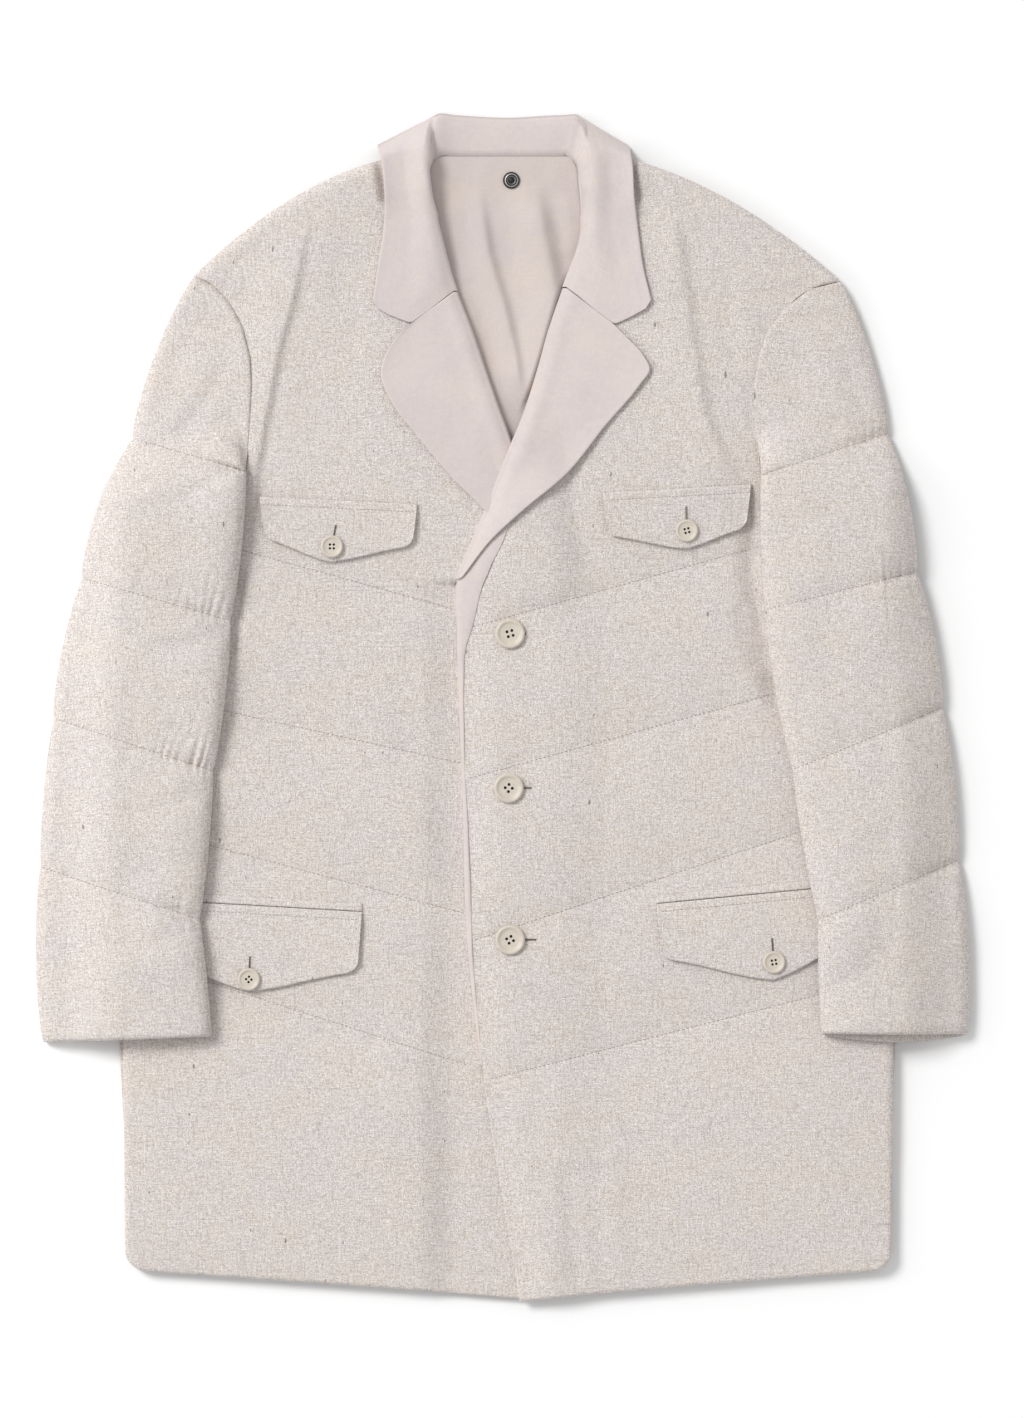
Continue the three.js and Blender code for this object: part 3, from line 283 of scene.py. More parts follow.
def make_wall(name, upper, lower, uv):
    """A closed mesh between two grids of points in mm; uv is the cloth's own place in mm."""
    rows, wide = upper.shape[:2]
    across, along = upper[0, -1] - upper[0, 0], upper[-1, wide // 2] - upper[0, wide // 2]
    if np.cross(across[:2], along[:2]) < 0:
        upper, lower, uv = upper[:, ::-1], lower[:, ::-1], uv[:, ::-1]
    points = (np.concatenate([upper.reshape(-1, 3), lower.reshape(-1, 3)]) + SHIFT) * MM
    top = np.arange(rows * wide).reshape(rows, wide)
    low = top + rows * wide

    def quads(a, b, c, d):
        return np.stack([a.ravel(), b.ravel(), c.ravel(), d.ravel()], axis=1)

    faces = np.concatenate([
        quads(top[:-1, :-1], top[:-1, 1:], top[1:, 1:], top[1:, :-1]),
        quads(low[:-1, :-1], low[1:, :-1], low[1:, 1:], low[:-1, 1:]),
        quads(top[:-1, 0], top[1:, 0], low[1:, 0], low[:-1, 0]),
        quads(top[1:, -1], top[:-1, -1], low[:-1, -1], low[1:, -1]),
        quads(top[0, 1:], top[0, :-1], low[0, :-1], low[0, 1:]),
        quads(top[-1, :-1], top[-1, 1:], low[-1, 1:], low[-1, :-1]),
    ])
    mesh = bpy.data.meshes.new(name)
    mesh.from_pydata(points.tolist(), [], faces.tolist())
    mesh.shade_smooth()
    layer = mesh.uv_layers.new(name="cloth")
    flat = np.concatenate([uv.reshape(-1, 2)] * 2) * MM
    corners = np.empty(len(mesh.loops), dtype=np.int32)
    mesh.loops.foreach_get("vertex_index", corners)
    layer.data.foreach_set("uv", flat[corners].astype(np.float32).ravel())
    piece = bpy.data.objects.new(name, mesh)
    bpy.context.collection.objects.link(piece)
    return piece


# %% [markdown]
# ## What lies on what
# A flap or lapel rests on the cloth under it. `Relief` keeps the highest finished surface over a fine
# grid of the plan. A new piece reads it, spread and softened a little, because stiff cloth bridges
# small hollows.

# %% The relief of finished pieces
CELL = 3.0
GRID_LOW = np.array([-420.0, -510.0])
GRID_SHAPE = (281, 341)


class Relief:
    """The highest surface over a grid of the plan, in mm."""

    def __init__(self, height=None):
        self.height = np.zeros(GRID_SHAPE) if height is None else height

    def add(self, upper):
        points = [upper, (upper[1:] + upper[:-1]) / 2, (upper[:, 1:] + upper[:, :-1]) / 2]
        for grid in points:
            i, j = (np.round((grid[..., k] - GRID_LOW[k]) / CELL).astype(int) for k in (0, 1))
            np.maximum.at(self.height, (i, j), grid[..., 2])
        return self

    def spread(self, reach):
        height, cells = self.height.copy(), int(math.ceil(reach / CELL))
        for di in range(-cells, cells + 1):
            for dj in range(-cells, cells + 1):
                if math.hypot(di, dj) * CELL <= reach + 0.1:
                    height = np.maximum(height, np.roll(self.height, (di, dj), (0, 1)))
        return Relief(height)

    def soften(self, reach):
        height, cells = self.height, int(math.ceil(reach / CELL))
        for axis in (0, 1, 0, 1):
            height = sum(np.roll(height, k, axis) for k in range(-cells, cells + 1)) / (2 * cells + 1)
        return Relief(height)

    def at(self, p):
        x, y = ((p[..., k] - GRID_LOW[k]) / CELL for k in (0, 1))
        i, j = np.floor(x).astype(int), np.floor(y).astype(int)
        s, t = x - i, y - j
        low = mix(self.height[i, j], self.height[i + 1, j], s)
        return mix(low, mix(self.height[i, j + 1], self.height[i + 1, j + 1], s), t)


# %% [markdown]
# ## The camera
# The photograph looks straight down. A long lens from 6 m keeps the far and near cloth at one scale,
# as a studio copy stand does, and the frame is 1024 x 1418 pixels of 0.76 mm.

# %% Camera over the jacket
PIXEL = 0.76
PHOTO = (1024, 1418)
ZERO_PIXEL = (503.5, 707.5)  # where the zero of the tables lies in the photograph
CAMERA_HEIGHT, SENSOR = 6.0, 36
to_middle = np.array([PHOTO[0] / 2 - ZERO_PIXEL[0], ZERO_PIXEL[1] - PHOTO[1] / 2])
centre = (to_middle * PIXEL + SHIFT[:2]) * MM
camera_data = bpy.data.cameras.new("camera")
camera_data.sensor_fit = "VERTICAL"
camera_data.sensor_height = SENSOR
camera_data.lens = SENSOR * CAMERA_HEIGHT / (PHOTO[1] * PIXEL * MM)
camera = bpy.data.objects.new("camera", camera_data)
camera.location = (centre[0], centre[1], CAMERA_HEIGHT)
bpy.context.collection.objects.link(camera)
bpy.context.scene.camera = camera
print("camera lens", round(camera_data.lens, 1), "mm at", [round(v, 4) for v in camera.location])

# %% [markdown]
# ## Letting the cloth settle
# Padding presses the cover outwards, and the cover stretches a little between its seams. Blender's
# cloth solver finds that shape. `settle` lays a sheet over a panel, holds it along its seams and
# edges, blows it up with a light pressure, and hands back how far each point rose or sank. Only that
# height is kept, so the panel keeps its outline, and a soft limit stops any point from leaving the
# wall.

# %% Cloth that settles between its seams
SOLVER = {  # a light cover that bends easily
    "quality": 5, "mass": 0.15, "air_damping": 4, "tension_stiffness": 18, "compression_stiffness": 18,
    "shear_stiffness": 6, "bending_stiffness": 0.25, "use_pressure": True, "uniform_pressure_force": 1.2,
    "vertex_group_mass": "held",
}


def settle(name, p, height, sewn_down, limit=2.6, frames=14):
    """The rise of each point of a sheet in mm, under pressure, where it isn't sewn down."""
    rows, wide = height.shape
    index = np.arange(rows * wide).reshape(rows, wide)
    corners = [index[:-1, :-1], index[:-1, 1:], index[1:, 1:], index[1:, :-1]]
    faces = np.stack(corners, axis=-1).reshape(-1, 4)
    if np.cross(p[0, -1] - p[0, 0], p[-1, 0] - p[0, 0]) < 0:
        faces = faces[:, ::-1]
    mesh = bpy.data.meshes.new(name)
    mesh.from_pydata((np.dstack([p, height]).reshape(-1, 3) * MM).tolist(), [], faces.tolist())
    sheet = bpy.data.objects.new(name, mesh)
    bpy.context.collection.objects.link(sheet)
    held = sheet.vertex_groups.new(name="held")
    held.add(np.flatnonzero(sewn_down.ravel()).tolist(), 1.0, "REPLACE")
    cloth = sheet.modifiers.new("cloth", "CLOTH")
    for setting, value in SOLVER.items():
        setattr(cloth.settings, setting, value)
    cloth.settings.effector_weights.gravity = 0
    cloth.collision_settings.use_collision = False
    cloth.point_cache.frame_start, cloth.point_cache.frame_end = 1, frames
    for frame_number in range(1, frames + 1):
        bpy.context.scene.frame_set(frame_number)
    settled = sheet.evaluated_get(bpy.context.evaluated_depsgraph_get()).data
    places = np.empty(len(settled.vertices) * 3, dtype=np.float32)
    settled.vertices.foreach_get("co", places)
    bpy.context.scene.frame_set(1)
    bpy.data.objects.remove(sheet)
    rise = places.reshape(rows, wide, 3)[..., 2] / MM - height
    print(f"{name}: settled by {rise.min():.1f} to {rise.max():.1f} mm, on average {abs(rise).mean():.2f} mm")
    return limit * np.tanh(rise / limit)


def spread_over(values, u_from, rows_from, u_to, rows_to):
    """Reads a sheet's values at other places across and along it."""
    across = np.stack([np.interp(u_to, u_from, line) for line in values])
    return np.stack([np.interp(rows_to, rows_from, line) for line in across.T], axis=1)


# %% [markdown]
# ## The fronts
# Each front is a padded panel. Slanting quilting seams hold it down, and the padding swells between
# them. Near a seam the cloth puckers in small folds across it. The left front climbs over the right
# one along the buttons. A few long folds are listed, from the shoulders to the pockets, where the
# sleeves pull on the body.

# %% The shape of a front
FOLDS = [  # side, points of the fold from its top, height (below 0 for a trough), width to -X and to +X in mm
    (1, [(124, 392), (132, 345), (141, 280), (151, 222), (163, 192), (181, 168)], 4.0, 24, 6.0),
    (1, [(166, 330), (172, 290), (176, 250)], -1.2, 9, 9),
    (-1, [(-145, 392), (-161, 310), (-172, 272), (-182, 218), (-191, 172), (-195, 130)], 4.6, 26, 4.4),
    (-1, [(-112, 400), (-122, 340), (-128, 290)], -0.8, 9, 9),
    (-1, [(-108, 360), (-112, 300), (-118, 262)], -1.0, 12, 12),
    (1, [(188, 180), (189, 130), (189, 100), (195, 60), (204, 20), (212, -20)], -4.4, 9, 6),
    (1, [(96, 418), (98, 400), (101, 380)], -6.0, 4, 4),
    (-1, [(-95, 420), (-91, 402), (-88, 378)], -6.5, 4, 4),
    (1, [(178, 84), (184, 52), (196, 24)], -1.6, 6, 6),
    (-1, [(-200, 116), (-202, 70), (-208, 30)], -2.6, 8, 5),
    (1, [(44, -338), (50, -390), (56, -448)], -1.7, 7, 10),
    (1, [(80, -350), (88, -448)], 1.2, 13, 10),
    (-1, [(-80, -236), (-76, -320), (-62, -448)], 1.9, 34, 36),
    (-1, [(-6, -300), (2, -372), (12, -448)], -1.6, 22, 10),
    (-1, [(-74, -60), (-70, 30), (-62, 70)][::-1], -0.9, 12, 12),
]
LAPEL_RIGHT_OUTLINE = [
    (27, 101), (20, 134), (13, 163), (5, 194), (-8, 232), (-17, 258), (-23, 275), (-28, 290), (-37, 315),
    (-70, 291), (-80, 282), (-90, 266), (-93, 252), (-87, 235), (-64, 204), (-39, 174), (-14, 149),
    (5, 128), (23, 103),
]
OVER_FRONT = {"shelf": 7, "reach": 44}  # how the left front bridges the right front's edge
OVER_LAPEL = {"shelf": 10, "reach": 30}
OVER_LAPEL_LIFT = REVERS_WALL + 2.2
SEAM_LOFT = (0.62, 0.2, 0.18)  # shares of the loft at a seam, gained within a few mm, and gained slowly
PUCKER, PUCKER_SIZE = 0.45, 11
CREASE, CREASE_WIDTH = 0.4, 1.3
FACING_REACH = 30  # the padding starts this far from the front's edge
LEAST_WALL = 1.2


def front_sections(side):
    upper = [(*r, *a) for r, a in zip(ROLL[side], ARMHOLE[side])]
    return [*FRONT_SECTIONS[side], *upper]


def front_plan(side):
    sections = front_sections(side)
    neck, point = np.array(ROLL[side][-1], float), np.array(ARMHOLE[side][-1], float)
    (ix, iy, ox, oy) = sections[0][:4]

    def head(u):
        crown = SHOULDER_CROWN * np.sin(np.pi * np.clip(u, 0, 1)) ** 0.8
        return mix(neck, point, u[..., None]) + np.stack([np.zeros_like(u), crown], axis=-1)

    def foot(u):
        y = mix(iy, oy - HEM_DROP, u**0.9) + HEM_DROP * (1 - dome(1 - u, 0.05))
        return np.stack([mix(ix, ox, u), y], axis=-1)

    return plan_of(sections, foot=foot, head=head, head_fade=5)


def outline_of(sections):
    return [s[:2] for s in sections] + [s[2:4] for s in reversed(sections)]


def neck_lift(p):
    return (FALL_WALL + GAP) * np.clip((p[..., 1] - NECK_FOOT) / NECK_LENGTH, 0, 1)


def placket_lift(p):
    over_front = plateau(p, outline_of(front_sections(-1)), **OVER_FRONT)
    over_lapel = plateau(p, LAPEL_RIGHT_OUTLINE, **OVER_LAPEL) * smooth((250 - p[..., 1]) / 60)
    return PLACKET_LIFT * over_front + OVER_LAPEL_LIFT * over_lapel


def quilt_lines(side):
    return [[s[:2], s[2:4]] for s in FRONT_SECTIONS[side] if len(s) > 4]


def puckers(p, line, size, seed):
    """Short folds across a seam, dying out away from it."""
    (ax, ay), (bx, by) = line[0], line[-1]
    way = np.array([bx - ax, by - ay], float)
    way /= np.linalg.norm(way)
    along = (p - np.array([ax, ay])) @ way
    away = (p - np.array([ax, ay])) @ np.array([-way[1], way[0]])
    large = noise(along + 0.25 * away, away, size, seed)
    small = noise(along, away, size * 0.45, seed + 1)
    return (large * 0.7 + small * 0.3) * np.exp(-np.abs(away) / (size * 1.3))


def swells(p, seed):
    """The slow unevenness of padding and the finer crumple of its cover."""
    x, y = p[..., 0], p[..., 1]
    broad = 0.9 * noise(x, y, 74, seed) + 0.45 * noise(x + 0.4 * y, y, 33, seed + 1)
    fine = 0.16 * noise(x, y, 13, seed + 2) + 0.07 * noise(x, y, 6, seed + 3)
    return broad + fine


def front_face(side, p, facing):
    """Heights of a front's face and back; facing is the distance from its inner edge."""
    bed = FRONT_BASE + neck_lift(p) + (placket_lift(p) if side == 1 else 0)
    above_button = smooth((p[..., 1] - 160) / 50)
    lower = bed + ROLL_LIFT * smooth(1 - to_line(p, ROLL[side]) / ROLL_REACH) * above_button
    loft = np.full(p.shape[:-1], FRONT_LOFT)
    creases = np.zeros_like(loft)
    at_seam, soon, slowly = SEAM_LOFT
    for k, line in enumerate(quilt_lines(side)):
        away = to_line(p, line)
        rise = at_seam + soon * (1 - np.exp(-away / 8)) + slowly * smooth(away / 45)
        loft = np.minimum(loft, FRONT_LOFT * rise)
        creases += PUCKER * puckers(p, line, PUCKER_SIZE, 40 + 10 * k + side)
        creases -= CREASE * np.exp(-((away / CREASE_WIDTH) ** 2))
    for fold_side, points, height, low_side, high_side in FOLDS:
        if fold_side == side:
            creases += ridge(p, points, height, low_side, high_side)
    quiet = smooth(facing / FACING_REACH)
    upper = lower + FRONT_WALL + (loft + creases + swells(p, 7 + side)) * quiet
    return np.maximum(upper, lower + LEAST_WALL), lower


# %% Make the two fronts
FRONT_WIDTH, FRONT_STEP, SHEET_STEP, SHEET_WIDE = 300, 2.2, 6.0, 56
LEFT_EDGE_X = -36  # the left front covers the right one up to here
ARMHOLE_ROW = 6.4  # the section where the underarm's curve ends
DIPS = {1: 0.2, -1: 0.7}  # how far the cloth sinks into the armhole's seam, which hardly shows on the left
reliefs = {}
fronts = {}


def settled_front(side, name, plan, u, rows):
    """How far the cloth solver lifts a front, at the places of its own mesh."""
    u_sheet = np.linspace(0, 1, SHEET_WIDE)
    rows_sheet = row_steps(front_sections(side), SHEET_STEP)
    p = plan(u_sheet[None, :], rows_sheet[:, None])
    to_seam = np.min([to_line(p, line) for line in quilt_lines(side)], axis=0)
    inner, outer, foot, head = edge_distances(p)
    edges = np.minimum(np.minimum(inner, outer), np.minimum(foot, head))
    rise = settle(name + "_sheet", p, front_face(side, p, inner)[0], (to_seam < 2.6) | (edges < 2))
    return spread_over(rise, u_sheet, rows_sheet, u, rows)


def make_front(side, name):
    plan = front_plan(side)
    u, rows = rim_steps(FRONT_WIDTH, FRONT_STEP), row_steps(front_sections(side))
    p = plan(u[None, :], rows[:, None])
    inner, outer, foot, head = edge_distances(p)
    facing = inner
    if side == -1:
        facing = np.maximum(LEFT_EDGE_X - p[..., 0], np.where(p[..., 1] > 95, inner, 0))
    upper, lower = front_face(side, p, facing)
    upper = upper + settled_front(side, name, plan, u, rows) * smooth(facing / FACING_REACH)
    upper = np.maximum(upper, lower + LEAST_WALL)
    closed = np.maximum(smooth(1 - outer / 40), smooth(1 - head / 40))
    lower = lower - (HOLLOW - GAP) * closed
    turned = dome(inner, 1.6) * dome(foot, 2.4)
    sewn_in = smooth((rows[:, None] - ARMHOLE_ROW) / 0.6)  # 1 along the armhole
    rim = dome(outer, mix(RIM_REACH, 2.2, sewn_in)) * dome(head, RIM_REACH)
    thick = np.maximum(upper - lower, 1.6)
    edge = mix(1.6, np.maximum(thick - DIPS[side], 1.6), sewn_in * smooth(head / 30))
    upper = lower + mix(0.9, mix(edge, thick, rim), turned)
    lower = lower + 0.5 * (1 - turned)
    grid = np.dstack([p, upper])
    reliefs[side] = Relief().add(grid)
    fronts[side] = grid
    return make_wall(name, grid, np.dstack([p, lower]), p)


front_left = make_front(1, "front_left_cloth")
front_right = make_front(-1, "front_right_cloth")

# %% [markdown]
# ## The back and its lining
# The back lies flat on the table, so its underside stays flat and only dips upwards along its own
# quilting. In the neck opening a plain linen lining shows over it, with two soft folds where the
# empty body sags.

# %% Back panel
BACK_STEP = 6.5  # it hardly shows, so its mesh is coarser
BACK_SECTIONS = [
    (-281, -416, 287, -416), (-291, -268, 297, -268), (-291, -40, 296, -40), (-283, 122, 287, 122),
    (-279, 142, 282, 142), (-237, 154, 237, 154),
]
BACK_SHOULDERS = [
    (-229, 325, 250, 321), (-228, 328, 249, 324), (-206, 349, 226, 345), (-158, 382, 170, 378),
    (-92, 412, 93, 413),
]
BACK_WIDTH = 580
BACK_QUILT_MIDDLES = [135, 20, -95, -210, -325]  # y of each seam between its middle and its ends
BACK_QUILTS = [[(-300, y + 40), (3, y - 30), (300, y + 40)] for y in BACK_QUILT_MIDDLES]


def neck_line(u):
    ax, ay, bx, by = BACK_SHOULDERS[-1]
    y = mix(ay, by, u) + NECK_RISE * dome(np.minimum(u, 1 - u), 0.4)
    return np.stack([mix(ax, bx, u), y], axis=-1)


def make_back():
    armholes = [(*r, *l) for r, l in zip(ARMHOLE[-1][:-1], ARMHOLE[1][:-1])]
    sections = [*BACK_SECTIONS, *armholes, *BACK_SHOULDERS]
    plan = plan_of(sections, head=neck_line)
    p = plan(rim_steps(BACK_WIDTH, BACK_STEP)[None, :], row_steps(sections, BACK_STEP)[:, None])
    inner, outer, foot, _ = edge_distances(p)
    rim = dome(np.minimum(np.minimum(inner, outer), foot), RIM_REACH)
    seams = np.min([to_line(p, line) for line in BACK_QUILTS], axis=0)
    lower = neck_lift(p) + 1.2 * (1 - rim) + 1.3 * np.exp(-seams / 7)
    upper = neck_lift(p) + mix(BACK_WALL - 1.2, BACK_WALL, rim)
    return make_wall("back_cloth", np.dstack([p, upper]), np.dstack([p, lower]), p)


back = make_back()

# %% Lining in the neck
LINING_SECTIONS = [
    (-2, 182, 14, 182), (-6, 198, 18, 198), (-26, 252, 38, 252), (-46, 308, 55, 308), (-63, 366, 74, 364),
    (-72, 418.6, 79, 418.6),
]
LINING_FOLDS = [  # points from the top, height, width to -X and to +X
    ([(20, 404), (31, 352), (38, 315), (31, 264), (20, 215)], 8.6, 18, 8),
    ([(-21, 400), (-12, 344), (0, 304), (8, 269), (14, 225)], 4.8, 12, 4.5),
    ([(-40, 392), (-32, 350), (-24, 318)], 1.2, 10, 8),
    ([(47, 392), (50, 362), (47, 338)], 1.4, 8, 6),
    ([(6, 372), (9, 340), (16, 318)], -1.0, 6, 6),
]
LINEN_STEP = 1.8  # spacing of the mesh over linen and flaps
LINING_WIDTH = 120
neck_cloth = {}


def make_lining():
    plan = plan_of(LINING_SECTIONS)
    p = plan(rim_steps(LINING_WIDTH, LINEN_STEP)[None, :], row_steps(LINING_SECTIONS, LINEN_STEP)[:, None])
    bed = BACK_WALL + neck_lift(p) + 0.1
    inner, outer, _, head = edge_distances(p)
    folds = sum(ridge(p, *fold) for fold in LINING_FOLDS) * smooth((np.minimum(inner, outer) - 11) / 6)
    crumple = 0.5 * lumps(p, 30, 21, (2.2, 1)) + 0.16 * lumps(p, 9, 22, (1.6, 1))
    upper = bed + 0.9 + np.maximum(folds + crumple, -0.6) * smooth(head / 9)
    neck_cloth["lining"] = np.dstack([p, upper])
    return make_wall("lining_cloth", np.dstack([p, upper]), np.dstack([p, bed]), p)


lining = make_lining()

# %% [markdown]
# ## The facing that rolls out
# The linen facing rolls a few millimetres out past the tweed, so a narrow smooth strip runs down the
# left front's edge. It is widest just under the lapel, which is the same cloth folded further out.

# %% Facing edge
FACING_WIDTHS = [  # y and the width that shows there
    (-276, 1.4), (-230, 2.9), (-192, 3.8), (-135, 5.2), (-90, 4.0), (-51, 3.0), (-2, 3.8), (36, 5.7),
    (45, 7.5), (57, 12.4), (74, 17.5), (97, 24.0), (124, 24.0), (140, 22.0),
]
FACING_ACROSS = np.array([  # share of the width, how far its edge drops, how deep it is sewn in, thickness
    (0, 2.2, 0, 0.3), (0.03, 0.9, 0, 0.9), (0.08, 0.2, 0, 1.1), (0.2, 0, 0, 1.0), (0.4, 0, 0, 0.95),
    (0.6, 0, 0.1, 0.95), (0.8, 0, 0.35, 0.95), (0.93, 0, 0.7, 0.9), (0.98, 0, 0.85, 0.8), (1.0, 0, 0.9, 0.7),
])
FACING_ROWS = np.arange(1.1, 6.7, 0.03)  # the sections of the front that it runs along


def make_facing_edge():
    plan = front_plan(1)
    edge = plan(np.zeros_like(FACING_ROWS), FACING_ROWS)
    way = plan(np.full_like(FACING_ROWS, 0.1), FACING_ROWS) - edge
    way /= np.linalg.norm(way, axis=1)[:, None]
    width = np.interp(edge[:, 1], *zip(*FACING_WIDTHS))
    share, drop, sink, thick = FACING_ACROSS.T
    p = edge[:, None] + way[:, None] * (width[:, None] * share[None, :] - 0.7)[..., None]
    base = front_only[1].spread(4).soften(3).at(p) + 0.2 - drop - sink
    ripple = 0.3 * lumps(p, 13, 51) * smooth(share * (1 - share) * 6)
    grid = np.dstack([p, base + thick + np.maximum(ripple, -0.3)])
    reliefs[1].add(grid)
    return make_wall("facing_linen", grid, np.dstack([p, base]), p)


front_only = {side: Relief(reliefs[side].height.copy()) for side in (1, -1)}
facing = make_facing_edge()

# %% [markdown]
# ## Lapels
# A lapel is the upper end of the front's edge, folded out along the roll line, so we see its linen
# side. It lies on the front, rounds over softly at the roll and has a thin pressed outer edge that
# lifts a little and throws a shadow.

# %% Lapels on the fronts
LAPEL_SECTIONS = {  # y on the roll line, outer x and y
    1: [
        (97, -31, 99), (128, -9, 127), (155, 16, 150), (193, 48, 177), (228, 77, 213), (264, 104, 245),
        (282, 111, 256), (298, 106, 267), (309, 95, 279), (318, 84, 290),
    ],
    -1: [
        (101, 23, 103), (134, 5, 128), (163, -14, 149), (194, -39, 174), (232, -64, 204), (258, -87, 235),
        (275, -93, 252), (290, -90, 266), (303, -80, 282), (315, -70, 291),
    ],
}


def roll_x(side, y):
    """The x of a front's inner edge at a height y."""
    sections, plan = front_sections(side), front_plan(side)
    rows = np.linspace(4, len(sections) - 1, 400)
    edge = plan(np.zeros_like(rows), rows)
    return np.interp(y, edge[:, 1], edge[:, 0])


ROLL_PROFILE = [  # inwards of the roll line in mm, and height from the bed (0) to the face (1)
    (0.9, 0.0), (2.6, 0.0), (3.1, 0.25), (3.2, 0.5), (2.9, 0.75), (2.1, 0.92), (1.0, 1.0),
]


def rolled_grids(side, p, upper, lower, bed):
    """Adds the turn of the roll at the inner edge of a lapel's grids."""
    first_up, first_low = upper[:, :1], lower[:, :1]
    faces, backs = [], []
    for inset, rise in ROLL_PROFILE:
        place = p[:, :1] - np.array([side * inset, 0])
        faces.append(np.dstack([place, mix(bed[:, :1], first_up - 0.1, rise)]))
        under = p[:, :1] - np.array([side * min(inset, 1.1), 0])
        backs.append(np.dstack([under, mix(bed[:, :1], first_low, min(1, rise * 1.1)) + 0.02 * inset]))
    face = np.concatenate([*faces, np.dstack([p, upper])[:, 1:]], axis=1)
    back_side = np.concatenate([*backs, np.dstack([p, lower])[:, 1:]], axis=1)
    return face, back_side


LAPEL_WIDTH = 70
LAPEL_ROLL = {1: 2.4, -1: 3.2}  # how high each lapel stands at its roll line


def make_lapel(side, name):
    sections = [(float(roll_x(side, y)), y, ox, oy) for y, ox, oy in LAPEL_SECTIONS[side]]
    plan = plan_of(sections)
    p = plan(rim_steps(LAPEL_WIDTH, LINEN_STEP)[None, :], row_steps(sections, LINEN_STEP)[:, None])
    inner, outer, _, head = edge_distances(p)
    rest = reliefs[side].spread(5).soften(5).at(p) + GAP
    waves = 0.8 * lumps(p, 42, 31 + side) + 0.45 * lumps(p, 19, 34 + side)
    waves += 0.16 * lumps(p, 9, 33)
    curl = 1.5 * np.exp(-outer / 9) * smooth(inner / 20) * smooth((p[..., 1] - 110) / 60)
    if side == 1:  # the left lapel lifts off the front above its break
        at_break = np.exp(-(((p[..., 1] - 165) / 40) ** 2))
        curl += 2.2 * smooth(1 - outer / 30) * smooth(inner / 20) * at_break
    thick = mix(0.6, REVERS_WALL, dome(outer, 1.3) * mix(0.93, 1, dome(head, 1.2)))
    roll = LAPEL_ROLL[side] * np.exp(-((inner / 11) ** 2)) * smooth((p[..., 1] - 150) / 60)
    lower = rest + curl + roll + np.maximum(waves, -0.4) * 0.9 + 0.3
    bed = np.maximum(FRONT_BASE + (placket_lift(p) if side == 1 else 0), ROLL_FOOT) + neck_lift(p)
    face, back_side = rolled_grids(side, p, lower + thick, lower, bed)
    reliefs[side].add(np.dstack([p, lower + thick]))
    turn = math.atan2(sections[-1][1] - sections[0][1], sections[-1][0] - sections[0][0]) - math.pi / 2
    grain = face[..., :2] @ np.array([[math.cos(turn), -math.sin(turn)], [math.sin(turn), math.cos(turn)]])
    return make_wall(name, face, back_side, grain)


lapel_left = make_lapel(1, "lapel_left_linen")
lapel_right = make_lapel(-1, "lapel_right_linen")

# %% [markdown]
# ## The collar
# The collar is one strip. It starts at the gorge of the left lapel, lies on the front, turns over the
# shoulder, runs behind the neck with its fall folded under the back, and comes round to the right.
# For each section we work out three ways of lying, flat, turned and folded under, and mix them by how
# far round the neck it is.

# %% The collar's pattern
# Roll x and y, outer edge x and y, the stand's foot x and y, and how it lies: 0 flat, 1 turned, 2 under.
COLLAR_SECTIONS = [
    (48, 319, 112, 309, 45, 319, 0), (57, 341, 106, 334, 54, 341, 0), (64, 367, 102, 363, 61, 367, 0),
    (66, 395, 99, 388, 63, 395, 0), (65, 424, 97, 417, 61, 412, 0), (57, 449, 95, 425, 56, 418, 1),
    (44, 449, 70, 404, 43, 418, 2), (4, 447, 2, 404, 4, 418, 2), (-37, 449, -64, 404, -36, 418, 2),
    (-50, 450, -95, 425, -49, 418, 1), (-60, 424, -93, 417, -55, 412, 0), (-58, 394, -90, 386, -55, 394, 0),
    (-51, 366, -91, 363, -48, 366, 0), (-43, 338, -95, 336, -40, 338, 0), (-37, 316, -99, 309, -34, 316, 0),
]
COLLAR_LINES = [curve_through([s[k:k + 2] for s in COLLAR_SECTIONS]) for k in (0, 2, 4)]
LEFT_END = [
    (48, 316.6), (57, 310.1), (70, 299.6), (84, 289.0), (91, 292.2), (99, 296.5), (108, 302), (112, 309),
]
RIGHT_END = [
    (-37, 313.6), (-46, 307.1), (-58, 298.1), (-70, 289.9), (-78, 293.2), (-87, 297), (-95, 302), (-99, 309),
]
LEAF_FOLD = [(70, 432), (71, 400), (70, 360), (76, 320)]  # a soft fold down the wearer's left leaf
COLLAR_ACROSS = np.concatenate([[0, 0.05], np.linspace(0.1, 0.9, 19), [0.94, 0.965, 0.98, 0.99, 1.0]])
STAND_ACROSS = np.array([0, 0.2, 0.4, 0.6, 0.78, 0.9])
STAND_WIDTH = 28
ROUND_NECK_X = 4  # the middle of the neck
TOP_ROLL_Y = 449
COLLAR_ROLL = {1: 3.2, -1: 5.6}  # how high each leaf stands at its roll line
STAND_RISE = {1: 4.5, -1: 2.0}  # how much higher the stand is at the shoulder than behind the neck
COLLAR_STEPS = 12  # rows of mesh between two sections


def lying_on(p, side, reach):
    near, far = collar_rest[side]
    return mix(near.at(p), far.at(p), reach)


collar_rest = {side: (front_only[side].spread(6).soften(6), front_only[side].spread(36)) for side in (1, -1)}


